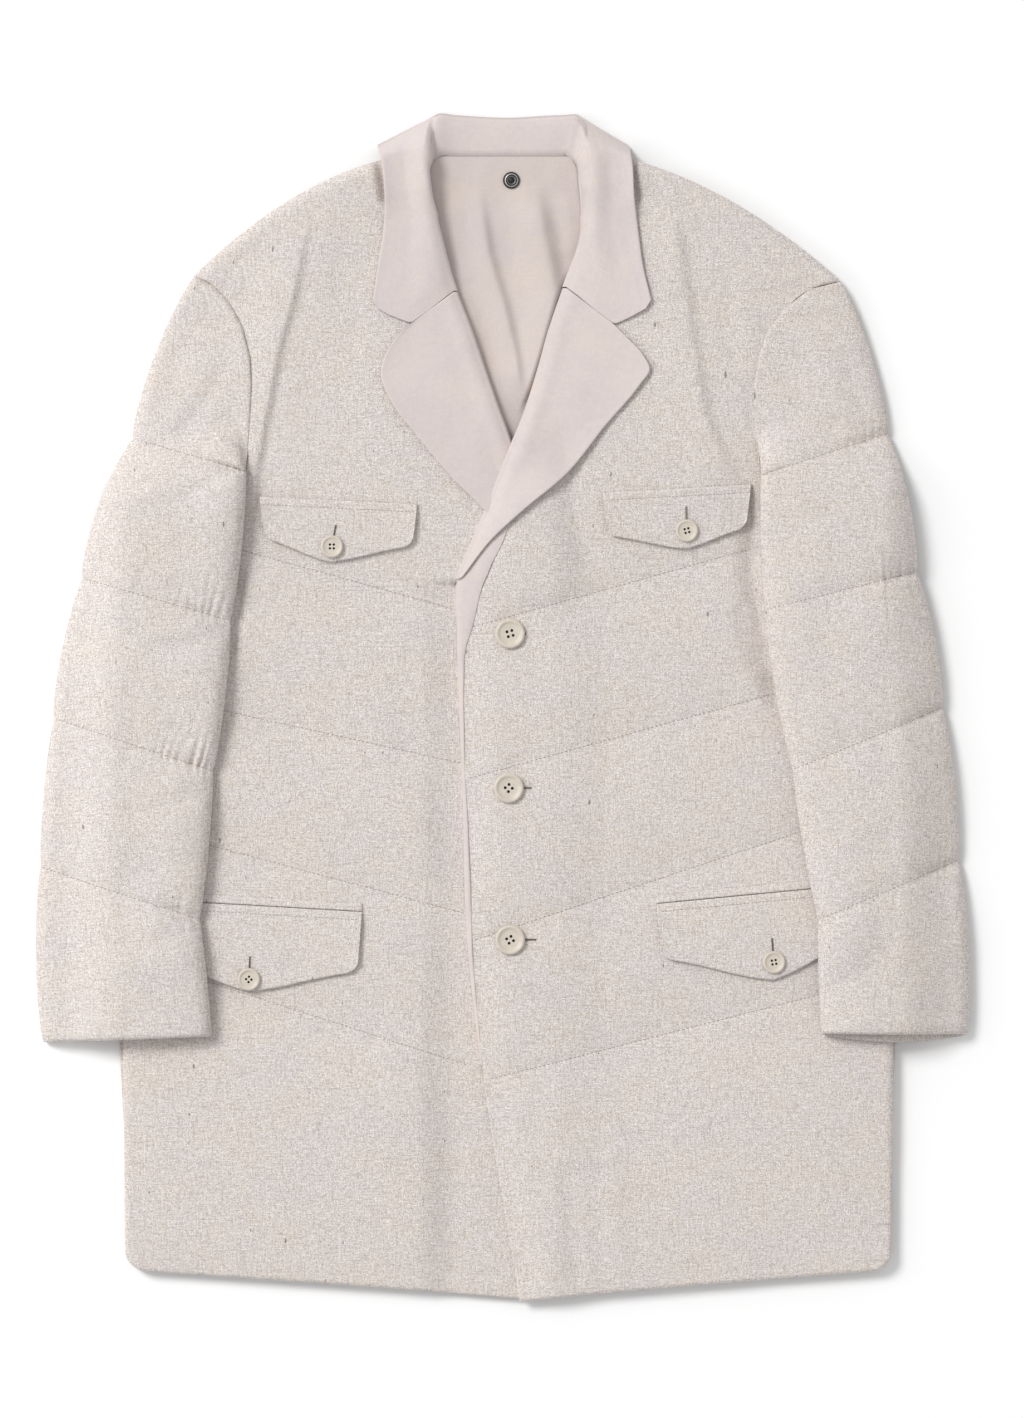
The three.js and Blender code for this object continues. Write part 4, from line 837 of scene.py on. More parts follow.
def collar_row(row):
    k = min(len(COLLAR_SECTIONS) - 2, int(row))
    roll, outer, foot = (line(row).copy() for line in COLLAR_LINES)
    lie = mix(COLLAR_SECTIONS[k][6], COLLAR_SECTIONS[k + 1][6], smooth(row - k))
    side = 1 if roll[0] > ROUND_NECK_X else -1
    if roll[1] < 372:
        roll[0] = roll_x(side, roll[1])
        foot[0] = roll[0] - 3 * side
    slope = smooth((roll[1] - 340) / 66) if side == 1 else 0  # the stand slopes softly into the neck here
    if side == 1:
        foot[0] -= 7 * slope * smooth((roll[0] - 44) / 14)
    last = len(COLLAR_SECTIONS) - 1
    to_end = min(row, last - row)
    end = LEFT_END if row < last / 2 else RIGHT_END
    u = COLLAR_ACROSS
    chord = mix(np.array(end[0]), np.array(end[-1]), u[:, None])
    p = mix(roll, outer, u[:, None]) + (polyline(end)(u) - chord) * np.clip(1 - to_end / 2, 0, 1)
    p[:, 0] -= 0.8 * side * (1 - u)
    way = outer - roll
    length = np.linalg.norm(way)
    out = np.array([-way[1] * np.sign(way[0]), abs(way[0])]) / length
    reach = smooth((roll[1] - 370) / 30)
    rolls = COLLAR_ROLL[side] * smooth(1 - u * 1.9)
    rolls = rolls * smooth(to_end / 2) * smooth((448 - roll[1]) / 40 + 0.3)
    low = lying_on(p, side, reach) + GAP + rolls + 0.6 * lumps(p, 38, 61)
    low += 0.4 * lumps(p, 17, 62) + (side == 1) * ridge(p, LEAF_FOLD, 2.0, 7, 11)
    gaping = 3.2 * math.exp(-((roll[1] - 404) / 16) ** 2)
    low += (1.3 + gaping) * np.exp(-(1 - u) * length / 9)
    rim = dome((1 - u) * length, 2.4)
    bed = ROLL_FOOT + float(neck_lift(foot))
    head = low[0]
    t = STAND_ACROSS[:, None]
    stand = mix(foot, roll, t)
    stand_top = 9.0 + STAND_RISE[side] * smooth((abs(roll[0]) - 12) / 36)
    bulge = np.sin(np.pi * t)
    leaning = foot + (stand - foot) * slope - [0.8 * side, 0] * bulge
    faces = {
        "flat": np.hstack([leaning, mix(bed, head + 2, t)]),
        "turned": np.hstack([stand, mix(11, stand_top + 1.5, t) + 0.6 * bulge]),
        "under": np.hstack([stand, mix(9.5, stand_top, t) + 0.9 * bulge]),
    }
    backs = {
        "flat": np.hstack([foot + np.zeros_like(stand) + [1.8 * side, 0], mix(bed, head, t)]),
        "turned": np.hstack([stand, mix(8.6, 2, t)]),
        "under": np.hstack([stand, mix(5.9, 3.1, t)]),
    }
    beneath = p - np.array([0, 2]) * smooth(u / 0.05)[:, None]
    lift = smooth(1 - u / 0.05)
    under_leaf = mix(mix(1.4, FALL_WALL, rim), 2.8, lift)
    leaf_faces = {
        "flat": np.column_stack([p, low + mix(0.8, REVERS_WALL, rim)]),
        "turned": np.column_stack([p + 1.2 * out, np.full(len(u), 2.6)]),
        "under": np.column_stack([beneath + np.outer(lift, [0, 1]), 2 * lift]),
    }
    leaf_backs = {
        "flat": np.column_stack([p, low]),
        "turned": np.column_stack([p - 1.2 * out, np.full(len(u), 2.6)]),
        "under": np.column_stack([beneath - np.outer(1 + lift, [0, 1]), under_leaf]),
    }
    weights = {"flat": np.clip(1 - lie, 0, 1), "turned": 1 - abs(1 - lie), "under": np.clip(lie - 1, 0, 1)}
    face = sum(w * np.vstack([faces[n], leaf_faces[n]]) for n, w in weights.items())
    back_side = sum(w * np.vstack([backs[n], leaf_backs[n]]) for n, w in weights.items())
    along = np.hypot(roll[0] - ROUND_NECK_X, roll[1] - TOP_ROLL_Y) * side
    across = np.concatenate([-(1 - STAND_ACROSS) * STAND_WIDTH, u * length])
    return face, back_side, np.column_stack([across, np.full(len(face), along)])


# %% Make the collar
def make_collar():
    last = len(COLLAR_SECTIONS) - 1
    rows = [k + step for k in range(last) for step in np.linspace(0, 1, COLLAR_STEPS, endpoint=False)]
    rows = [0, 0.02, 0.05, *rows[1:], last - 0.05, last - 0.02, last]
    parts = [collar_row(row) for row in rows]
    face, back_side, cloth = (np.stack([part[k] for part in parts]) for k in range(3))
    return make_wall("collar_linen", face, back_side, cloth)


collar = make_collar()

# %% [markdown]
# ## Pocket flaps
# Four pointed flaps hang from their pockets. Each is two plies of tweed, turned at the edges, with a
# seam 6 mm below its head. The hip pockets also show a narrow piping above the flap.

# %% Flaps and jets
FLAPS = [  # name, side, inner x and y, outer x and y, drop at the ends, drop at the point, where the point is
    ("chest_flap_left", 1, 75, 163, 188, 169, 33, 46, 0.56),
    ("chest_flap_right", -1, -65, 154, -185, 160, 32, 47, 0.56),
    ("hip_flap_left", 1, 116, -149, 272, -134, 42, 66, 0.57),
    ("hip_flap_right", -1, -107, -155, -264, -146, 46, 65, 0.55),
]
FLAP_SEAM = 6.0
FLAP_ROWS = np.array([0, 0.02, 0.05, *np.linspace(0.08, 0.94, 22), 0.965, 0.985, 1.0])  # from head to foot
JET_LENGTH, JET_STEP = 156, 2.5
JET_PROFILE = np.array([  # height above the flap's head, and thickness
    (0.6, 0.9), (0.8, 1.2), (1.3, 1.4), (2.4, 1.5), (3.6, 1.4), (4.8, 1.1), (6.0, 0.7), (6.5, 0.4), (6.6, 0.1),
])
flap_grids = {}


def flap_plan(flap):
    ix, iy, ox, oy, drop, point, at = flap[2:]

    def plan(u, row):
        u, row = np.broadcast_arrays(u, row)
        to_point = np.where(u < at, u / at, (1 - u) / (1 - at))
        corner = 1 - dome(np.minimum(u, 1 - u), 0.07)
        foot = mix(drop, point, smooth(to_point) * 0.5 + to_point * 0.5) - corner * 9
        lean = 3 * row * np.where(u < 0.5, 1, -1) * (1 - 2 * np.minimum(u, 1 - u)) * np.sign(ox - ix)
        return np.stack([mix(ix, ox, u) + lean, mix(iy, oy, u) - foot * row], axis=-1)

    return plan


def make_flap(flap):
    name, side = flap[:2]
    width = math.hypot(flap[4] - flap[2], flap[5] - flap[3])
    p = flap_plan(flap)(rim_steps(width, LINEN_STEP)[None, :], FLAP_ROWS[::-1, None])
    inner, outer, low_edge, top_edge = edge_distances(p)
    to_side = np.minimum(inner, outer)
    to_edge = np.minimum(to_side, low_edge)
    base = front_only[side].spread(4).soften(6).at(p) + GAP
    lift = 0.3 + 1.5 * np.exp(-low_edge / 9) + 1.7 * np.exp(-to_side / 6)
    lift *= smooth(top_edge / 8)
    thick = mix(0.8, FLAP_WALL, dome(to_edge, 1.8)) + 0.25 * lumps(p, 21, 71)
    pressed = np.abs(to_edge - 2.2)
    seam = 0.5 * np.exp(-((top_edge - FLAP_SEAM) ** 2)) + 0.38 * np.exp(-((pressed / 1.2) ** 2))
    thick = np.where(top_edge < 1.0, mix(1.3, thick, top_edge), thick) - seam
    grid = np.dstack([p, base + lift + thick])
    flap_grids[name] = grid
    return make_wall(name + "_cloth", grid, np.dstack([p, base + lift]), p)


def make_jet(flap):
    name, side, ix, iy, ox, oy = flap[:6]
    name = name.replace("flap", "jet")
    u = rim_steps(JET_LENGTH, JET_STEP)
    up, thick = JET_PROFILE.T
    head = np.stack([mix(ix, ox, u), mix(iy, oy, u)], axis=-1)
    p = head[None, :] + np.stack([np.zeros_like(up), up], axis=-1)[:, None]
    base = front_only[side].spread(3).soften(3).at(p) + 0.25
    thick = thick[:, None] * dome(np.minimum(u, 1 - u), 0.01)
    grid = np.dstack([p, base + 0.1 + thick])
    flap_grids[name] = grid
    return make_wall(name + "_cloth", grid, np.dstack([p, base]), p)


flaps = {flap[0]: make_flap(flap) for flap in FLAPS}
jets = {flap[0].replace("flap", "jet"): make_jet(flap) for flap in FLAPS if flap[0].startswith("hip")}

# %% [markdown]
# ## Sleeves
# A two-piece sleeve lies folded flat, so it is an under and a top wall with almost nothing between
# them. The top wall is the puffiest cloth of the jacket. Four seams cross it, and its edges pinch in
# at each of them. On the wearer's right sleeve the seams gather the cloth into sharp little folds at
# the inner edge.

# %% The plan of a sleeve
SLEEVE_SECTIONS = {  # inner x and y, outer x and y, bulge of the two edges in the channel above
    1: [
        (195, 176, 291, 208, 0, 7), (198, 74, 313, 103, 2, 6), (219, -47, 333, 0, 3, 5),
        (238, -160, 345, -116, 2, 4), (241, -247, 352, -248, 1, 5),
    ],
    -1: [
        (-195, 179, -281, 204, 0, 8), (-207, 66, -319, 98, 3, 8), (-220, -48, -341, -8, 3, 5),
        (-230, -160, -351, -121, 2, 3), (-221, -249, -349, -254, 1, 5),
    ],
}
BODY_REGION = {
    1: [(150, 182), (196, 181), (284, 157), (298, -60), (297, -430), (150, -430)],
    -1: [(-150, 182), (-196, 181), (-282, 152), (-292, -60), (-290, -430), (-150, -430)],
}


def sleeve_plan(side, clearance):
    seam = polyline(ARMHOLE[side])
    first = (*ARMHOLE[side][0], *ARMHOLE[side][-1], 0, 0)
    table = np.array([first, *SLEEVE_SECTIONS[side]], float)

    def plan(u, row):
        u, row = np.broadcast_arrays(np.asarray(u, float), np.asarray(row, float))
        k = np.clip(np.floor(row).astype(int), 0, len(table) - 2)
        t = row - k
        ends = mix(table[k], table[k + 1], t[..., None])
        bulge = np.sin(np.pi * np.clip(t, 0, 1)) ** 0.6
        ix = ends[..., 0] - side * (table[k + 1][..., 4] * bulge - clearance)
        ox = ends[..., 2] + side * (table[k + 1][..., 5] * bulge - clearance)
        x, y = mix(ix, ox, u), mix(ends[..., 1], ends[..., 3], u)
        bent = seam(u) - mix(np.array(ARMHOLE[side][0]), np.array(ARMHOLE[side][-1]), u[..., None])
        fade = np.where(row < 1, 1 - row, 0)
        return np.stack([x + (bent[..., 0] + side * -0.9) * fade, y + bent[..., 1] * fade], axis=-1)

    return plan


# %% [markdown]
# ## The creases of a sleeve
# The seams of the wearer's right sleeve draw its inner edge together, and on the left sleeve the outer edge a
# little. Gathers are round tops with sharp valleys between them, which a sine's absolute value gives. They die
# out away from the seam, faster below it than above.

# %% Gathers and long creases
SLEEVE_WIDTH, SLEEVE_STEP = 112, 1.1
CHANNELS, CHANNEL_ROWS = 5, 40
CHANNEL, CUFF = 108, 90  # how long a channel between two seams is, and the last one, in mm
GATHERED = {1: (0.5, 0.5, 0.4, 0.4), -1: (0.3, 0.8, 1.3, 0.4)}  # how much each seam gathers, from the top
GATHER_PITCH = 6.6
AT_ARMHOLE = {1: 0.15, -1: 0.8}  # how far the sleeve sinks into the armhole's seam
DRAWN_IN = {1: (1.4, 1.8), -1: (2.3, 3.4)}  # strength of the gathers and depth of the seam where it is drawn in
SLEEVE_FOLDS = {  # points, width and depth
    1: [
        ([(204, 262), (226, 232), (250, 214)], 8, 1.8), ([(232, 296), (258, 262), (270, 232)], 9, 1.6),
        ([(222, -70), (258, -92), (290, -110)], 8, 1.1),
    ],
    -1: [
        ([(-206, 268), (-222, 236), (-240, 214)], 8, 1.8), ([(-228, 300), (-248, 262), (-258, 228)], 9, 1.4),
        ([(-208, 60), (-232, 48), (-262, 44)], 7, 1.3), ([(-222, -60), (-250, -74), (-280, -80)], 8, 1.2),
        ([(-230, -168), (-262, -178), (-300, -182)], 8, 1.1),
    ],
}


def sleeve_creases(side, p, row, to_inner, drawn, pinched):
    """Heights of gathers, seams and creases. The seams draw in the edge that drawn is measured from."""
    seam = np.round(row)
    off = (row - seam) * CHANNEL
    swing = 4 * noise(drawn, off * 0.4 + 50 * seam, 15, 81 + side) + 0.1 * np.abs(off)
    gathers = 1.5 * np.abs(np.sin(np.pi * (drawn + swing) / GATHER_PITCH)) - 1
    gathers *= np.exp(-np.abs(off) / np.where(off < 0, 15, 3)) * (0.7 + 0.6 * noise(drawn, off, 13, 88))
    gathers *= np.take(GATHERED[side], np.clip(seam.astype(int), 1, 4) - 1)
    fine = noise(to_inner, off * 0.4, 4.6, 83 + side) * np.exp(-np.abs(off) / 8)
    strength, depth = DRAWN_IN[side]
    has_seam = np.where((row > 0.3) & (row < 4.6), 1.0, 0.0)
    creases = (1.1 * gathers + 0.45 * fine) * mix(0.1, strength, pinched) * has_seam
    creases -= mix(0.25, depth, pinched) * np.exp(-((off / mix(1.6, 2.6, pinched)) ** 2)) * has_seam
    creases += 1.3 * lumps(p, 46, 85 + side, (1.5, 0.8)) + 0.3 * lumps(p, 15, 86)
    creases += 0.1 * lumps(p, 6, 87)
    for points, fold_width, fold_depth in SLEEVE_FOLDS[side]:
        creases -= fold_depth * np.exp(-((to_line(p, points) / fold_width) ** 2))
    return creases


# %% Make the sleeves
def settled_sleeve(label, p, face, u, rows):
    """How far the cloth solver lifts an upper sleeve, at the places of its own mesh."""
    kept = np.array([*range(len(rows) - 3), len(rows) - 1])
    u_sheet = np.linspace(0, 1, 38)
    shape = spread_over(face, u, rows, u_sheet, rows[kept])
    p_sheet = np.stack([spread_over(p[..., k], u, rows, u_sheet, rows[kept]) for k in (0, 1)], axis=-1)
    off_seam = np.abs(rows[kept] - np.round(rows[kept]))[:, None] * CHANNEL
    held = (off_seam < 2.0) | (u_sheet[None, :] < 0.01) | (u_sheet[None, :] > 0.99)
    rise = settle(f"sleeve_{label}_sheet", p_sheet, shape, held, limit=3.2)
    return spread_over(rise, u_sheet, rows[kept], u, rows)


def make_sleeve(side, label):
    rows = [k + step for k in range(CHANNELS) for step in np.linspace(0, 1, CHANNEL_ROWS, endpoint=False)]
    rows = np.array([*rows, 4.985, 4.993, 5.0])
    u = rim_steps(SLEEVE_WIDTH, SLEEVE_STEP)
    p = sleeve_plan(side, 0)(u[None, :], rows[:, None])
    across = np.linalg.norm(p[:, -1] - p[:, 0], axis=-1)[:, None]
    to_inner, to_outer = u[None, :] * across, (1 - u[None, :]) * across
    to_edge = np.minimum(to_inner, to_outer)
    edge = dome(to_edge, RIM_REACH)
    body = BODY_REGION[side]
    lying = np.where(inside(p, body), sleeve_rest[side].at(p) + GAP, 0)
    row = rows[:, None]
    head = SLEEVE_HEAD * smooth(1 - row / 0.6)
    floor = np.maximum(np.maximum(lying, head), BODY_TOP * plateau(p, body, 0, SLEEVE_BRIDGE))
    floor = np.broadcast_to(floor, p.shape[:-1])
    inset = sleeve_plan(side, 0.8)(u[None, :], rows[:, None])
    if side == 1:  # the under cuff shows below the top one
        inset[..., 1] -= 6 * smooth((row - 4.5) * 2) * np.sin(np.pi * u[None, :]) ** 0.7
    under_low = floor + 1.6 * (1 - edge)
    under_top = floor + mix(3.2, UNDER_SLEEVE_WALL, edge)
    lean = side * 0.09
    cloth = p @ np.array([[math.cos(lean), math.sin(lean)], [-math.sin(lean), math.cos(lean)]])
    under = make_wall(
        f"sleeve_under_{label}_cloth", np.dstack([inset, under_top])[::2], np.dstack([inset, under_low])[::2],
        cloth[::2],
    )
    to_seam = np.minimum(row % 1, 1 - row % 1) * CHANNEL
    seam_puff = 0.75 * (1 - np.exp(-to_seam / 10)) + 0.25 * smooth(to_seam / 40)
    at_cuff = mix(0.5, 1, dome((CHANNELS - row) * CUFF, 14))
    puff = np.where(row > 4.5, at_cuff, seam_puff)
    fullness = np.where(row < 1, mix(0.35, 1, smooth(row)), 1)
    drawn = to_inner if side == -1 else to_outer
    pinched = np.exp(-((drawn / 34) ** 2))  # the side where the seams draw in
    valley = mix(0.8, 0.3, pinched)  # how full the sleeve still is at a seam
    loft = TOP_SLEEVE_LOFT * mix(valley, 1, puff) * dome(to_edge, mix(38, 24, pinched)) * fullness
    low = under_top + SLEEVE_HOLLOW
    creases = sleeve_creases(side, p, row, to_inner, drawn, pinched)
    creases = creases + settled_sleeve(label, p, low + TOP_SLEEVE_WALL + loft, u, rows)
    creases *= dome(to_edge, 5) * smooth((CHANNELS - row) * 12) * smooth(row * 9)
    hem = dome((CHANNELS - row) * CUFF, 2.4)
    wall = mix(0.8, mix(1.6, TOP_SLEEVE_WALL, edge), hem)
    upper = low + wall + np.maximum(loft * mix(0.7, 1, hem) + creases, 0)
    beside = reliefs[side].soften(3).at(p[:1] - np.array([side * 8, -2]))
    beside = beside - AT_ARMHOLE[side] * np.exp(-row * CUFF / 2.0)
    upper = mix(low + np.maximum(beside - low, 1.6) * mix(0.5, 1, edge), upper, smooth(row / 0.6))
    grid = np.dstack([p, upper])
    top = make_wall(f"sleeve_top_{label}_cloth", grid, np.dstack([p, low]), cloth)
    sleeve_grids[side] = grid
    return under, top


sleeve_rest = {}
for side in (1, -1):
    rest = Relief(front_only[side].height.copy())
    for name, grid in flap_grids.items():
        rest.add(grid)
    sleeve_rest[side] = rest.spread(12).soften(9)
sleeve_grids = {}
sleeves = {label: make_sleeve(side, label) for label, side in (("left", 1), ("right", -1))}

# %% [markdown]
# ## Buttons
# A coat button is turned from a disc: a raised rim, a dished middle and four holes, sewn on through
# them with thread. The thread is near-black and sits deep in the holes, where its colour paints the
# shade in them. We turn the profile round the axis, cut the holes with a Boolean modifier and apply
# it, so that the result is one plain closed mesh. The black snap at the neck is turned in the same
# way; a pale metal on two of its rings paints the highlights on its ridges.

# %% Turned pieces
def turned(name, profile, place, segments=48):
    """A closed mesh from a profile of radius and height in mm, from the axis to the axis."""
    mesh = bpy.data.meshes.new(name)
    shape = bmesh.new()
    rings = []
    for radius, height in profile:
        if radius < 1e-6:
            rings.append([shape.verts.new((0, 0, height))])
            continue
        angles = [2 * math.pi * k / segments for k in range(segments)]
        rings.append([shape.verts.new((radius * math.cos(a), radius * math.sin(a), height)) for a in angles])
    for low, high in zip(rings[:-1], rings[1:]):
        for k in range(segments):
            here, there = k % len(low), (k + 1) % len(low)
            above, beyond = k % len(high), (k + 1) % len(high)
            shape.faces.new(list(dict.fromkeys([low[here], low[there], high[beyond], high[above]])))
    bmesh.ops.recalc_face_normals(shape, faces=shape.faces)
    bmesh.ops.scale(shape, vec=(MM, MM, MM), verts=shape.verts)
    bmesh.ops.translate(shape, vec=(np.array(place) + SHIFT) * MM, verts=shape.verts)
    shape.to_mesh(mesh)
    shape.free()
    mesh.shade_smooth()
    piece = bpy.data.objects.new(name, mesh)
    bpy.context.collection.objects.link(piece)
    return piece


def apply_modifiers(piece):
    """The evaluated mesh becomes the piece's own, and nothing live is left on it."""
    bpy.context.view_layer.update()
    mesh = bpy.data.meshes.new_from_object(piece.evaluated_get(bpy.context.evaluated_depsgraph_get()))
    piece.modifiers.clear()
    piece.data = mesh
    return piece


# %% Buttons with their thread, which paints the shade in their holes
FRONT_BUTTON = {"radius": 11.3, "height": 3.4, "pitch": 3.8, "hole": 1.15}
FLAP_BUTTON = {"radius": 8.5, "height": 2.8, "pitch": 2.9, "hole": 0.95}
BUTTONS = [  # name, x, y, kind, what carries it, turn in degrees
    ("front_button_1", 5, 56, FRONT_BUTTON, 1, 15), ("front_button_2", 4, -61, FRONT_BUTTON, 1, 40),
    ("front_button_3", 5, -176, FRONT_BUTTON, 1, 30),
    ("chest_button_left", 139, 134, FLAP_BUTTON, "chest_flap_left", 15),
    ("chest_button_right", -130, 122, FLAP_BUTTON, "chest_flap_right", 0),
    ("hip_button_left", 205, -193, FLAP_BUTTON, "hip_flap_left", 10),
    ("hip_button_right", -193, -206, FLAP_BUTTON, "hip_flap_right", 40),
]


def seat_height(x, y, carrier, radius):
    grid = fronts[carrier] if carrier in fronts else flap_grids[carrier]
    near = np.hypot(grid[..., 0] - x, grid[..., 1] - y) < radius
    return float(grid[..., 2][near].max())


def make_button(name, x, y, kind, carrier, turn):
    r, h = kind["radius"], kind["height"]
    seat = seat_height(x, y, carrier, r) + 0.3
    profile = [
        (0, 0), (r * 0.62, 0), (r * 0.86, h * 0.14), (r * 0.96, h * 0.36), (r, h * 0.6), (r * 0.985, h * 0.8),
        (r * 0.94, h * 0.94), (r * 0.88, h), (r * 0.82, h * 0.98), (r * 0.76, h * 0.88), (r * 0.7, h * 0.7),
        (r * 0.64, h * 0.62), (r * 0.4, h * 0.6), (0, h * 0.6),
    ]
    button = turned(name + "_horn", profile, (x, y, seat))
    angles = [math.radians(turn + 45 + 90 * k) for k in range(4)]
    out = kind["pitch"] / math.sqrt(2)
    holes = [(x + math.cos(a) * out, y + math.sin(a) * out) for a in angles]
    drill = [(0, -1), (kind["hole"], -1), (kind["hole"], h + 1), (0, h + 1)]
    cutters = [turned("cutter", drill, (hx, hy, seat), 14) for hx, hy in holes]
    for cutter in cutters:
        cut = button.modifiers.new("hole", "BOOLEAN")
        cut.object, cut.solver, cut.operation = cutter, "EXACT", "DIFFERENCE"
    apply_modifiers(button)
    for cutter in cutters:
        bpy.data.objects.remove(cutter)
    button.data.shade_smooth()
    button.data.set_sharp_from_angle(angle=math.radians(38))
    thread = sew_and_shade_holes(name, holes, seat + h * 0.6, kind["hole"])
    return button, thread


def sew_and_shade_holes(name, holes, height, hole):
    """Near-black thread filling the four holes, a little below the dish; it paints the shade in them."""
    hole_shade_knots = bmesh.new()
    for x, y in holes:
        # sunk 0.9 mm under the dish, the near-black knots paint the shade deep in each hole
        place = Matrix.Translation(Vector((np.array([x, y, height - 0.9]) + SHIFT) * MM))
        size = Matrix.Diagonal((hole * 0.96 * MM, hole * 0.96 * MM, 0.42 * MM, 1))
        bmesh.ops.create_uvsphere(hole_shade_knots, u_segments=14, v_segments=8, radius=1, matrix=place @ size)
    data = bpy.data.meshes.new(name + "_thread")
    hole_shade_knots.to_mesh(data)
    hole_shade_knots.free()
    data.shade_smooth()
    piece = bpy.data.objects.new(name + "_thread", data)
    bpy.context.collection.objects.link(piece)
    return piece


buttons = {spec[0]: make_button(*spec) for spec in BUTTONS}
print("buttons:", ", ".join(buttons))

# %% The snap at the neck
SNAP = {"x": 6, "y": 400, "radius": 6.4, "height": 2.2}
r, h = SNAP["radius"], SNAP["height"]
near_snap = np.hypot(neck_cloth["lining"][..., 0] - SNAP["x"], neck_cloth["lining"][..., 1] - SNAP["y"]) < r
snap_seat = float(neck_cloth["lining"][..., 2][near_snap].max())
snap = turned(
    "neck_snap_metal",
    [
        (0, 0), (r, 0), (r, h * 0.35), (r * 0.97, h * 0.62), (r * 0.9, h * 0.72), (r * 0.8, h * 0.6),
        (r * 0.74, h * 0.6), (r * 0.68, h * 0.78), (r * 0.58, h * 0.82), (r * 0.5, h * 0.7),
        (r * 0.44, h * 0.45), (r * 0.3, h * 0.42), (r * 0.26, h * 0.6), (r * 0.2, h * 0.8),
        (r * 0.1, h * 0.86), (0, h * 0.87),
    ],
    (SNAP["x"], SNAP["y"], snap_seat),
)
print("snap seat at", round(snap_seat, 2), "mm")

# %% [markdown]
# ## Stitches
# Quilting shows as a row of short stitches in the bottom of each valley. They are a job for Geometry
# Nodes: the seam is a thin line of edges, which the tree turns into a curve, samples at the stitch
# pitch and covers with small thread beads turned along the seam. A tree with named inputs serves
# every seam, and buttonholes too.

# %% The stitch tree
def new_node(tree, kind, **values):
    """A node with its settings, named in small letters, and its sockets, named with a capital."""
    node = tree.nodes.new(kind)
    for name, value in values.items():
        if name.islower():
            setattr(node, name, value)
        elif isinstance(value, bpy.types.NodeSocket):
            tree.links.new(value, node.inputs[name])
        else:
            node.inputs[name].default_value = value
    return node


def stitch_tree():
    tree = bpy.data.node_groups.new("stitch_row", "GeometryNodeTree")
    tree.interface.new_socket("Seam", in_out="INPUT", socket_type="NodeSocketGeometry")
    for name in ("Pitch", "Length", "Thickness"):
        tree.interface.new_socket(name, in_out="INPUT", socket_type="NodeSocketFloat")
    tree.interface.new_socket("Thread", in_out="INPUT", socket_type="NodeSocketMaterial")
    tree.interface.new_socket("Stitches", in_out="OUTPUT", socket_type="NodeSocketGeometry")
    given = tree.nodes.new("NodeGroupInput").outputs
    curve = new_node(tree, "GeometryNodeMeshToCurve", Mesh=given["Seam"])
    spaced = new_node(
        tree, "GeometryNodeResampleCurve", mode="LENGTH", Curve=curve.outputs["Curve"], Length=given["Pitch"]
    )
    bead = new_node(tree, "GeometryNodeMeshUVSphere", Segments=6, Rings=4, Radius=0.5)
    size = tree.nodes.new("ShaderNodeCombineXYZ")
    tree.links.new(given["Length"], size.inputs["X"])
    tree.links.new(given["Thickness"], size.inputs["Y"])
    tree.links.new(given["Thickness"], size.inputs["Z"])
    thread = new_node(
        tree, "GeometryNodeTransform", Geometry=bead.outputs["Mesh"], Scale=size.outputs["Vector"]
    )
    tangent = tree.nodes.new("GeometryNodeInputTangent")
    turn = new_node(tree, "FunctionNodeAlignRotationToVector", axis="X", Vector=tangent.outputs["Tangent"])
    placed = new_node(
        tree, "GeometryNodeInstanceOnPoints", Points=spaced.outputs["Curve"],
        Instance=thread.outputs["Geometry"], Rotation=turn.outputs["Rotation"],
    )
    real = new_node(tree, "GeometryNodeRealizeInstances", Geometry=placed.outputs["Instances"])
    smoothed = new_node(tree, "GeometryNodeSetShadeSmooth", Geometry=real.outputs["Geometry"])
    painted = new_node(
        tree, "GeometryNodeSetMaterial", Geometry=smoothed.outputs["Geometry"], Material=given["Thread"]
    )
    tree.links.new(painted.outputs["Geometry"], tree.nodes.new("NodeGroupOutput").inputs["Stitches"])
    return tree


STITCHES = stitch_tree()
QUILTING = {"Pitch": 3.4, "Length": 2.3, "Thickness": 0.5}
FLAP_STITCH = {"Pitch": 2.8, "Length": 2.0, "Thickness": 0.42}
BUTTONHOLE = {"Pitch": 0.55, "Length": 0.62, "Thickness": 0.75}
SLIT = {"Pitch": 0.5, "Length": 1.0, "Thickness": 0.34}


def sewn(name, lines, stitch, thread):
    """Rows of stitches along lines of points in mm, as one plain mesh."""
    points, edges = [], []
    for line in lines:
        start = len(points)
        points.extend(((np.asarray(line) + SHIFT) * MM).tolist())
        edges.extend((start + k, start + k + 1) for k in range(len(line) - 1))
    mesh = bpy.data.meshes.new(name)
    mesh.from_pydata(points, edges, [])
    piece = bpy.data.objects.new(name, mesh)
    bpy.context.collection.objects.link(piece)
    modifier = piece.modifiers.new("stitches", "NODES")
    modifier.node_group = STITCHES
    sizes = {"Thread": thread, **{socket: value * MM for socket, value in stitch.items()}}
    for item in STITCHES.interface.items_tree:
        if item.in_out == "INPUT" and item.name in sizes:
            modifier[item.identifier] = sizes[item.name]
    apply_modifiers(piece)
    print(f"{name}: {len(piece.data.polygons)} faces of stitching")
    return piece


# %% [markdown]
# ## Finishes
# Four things give the cloth its look: the crossing yarns, their uneven thickness, flecks of other
# fibre, and a slow drift between warm and cool. They are one node group, `woven`, with named inputs,
# and each cloth sets its own values: strong slubs and flecks for the tweed, almost none for the
# linen. It reads the UV map, which is in metres, so the weave turns with each piece. Materials keep
# their own shader, and the group only gives colour and height.

# %% The woven group
def colour(r, g, b):
    """An sRGB colour from 0 to 255, as the linear values that shaders take."""
    shares = (r / 255, g / 255, b / 255)
    return (*(c / 12.92 if c <= 0.04045 else ((c + 0.055) / 1.055) ** 2.4 for c in shares), 1.0)


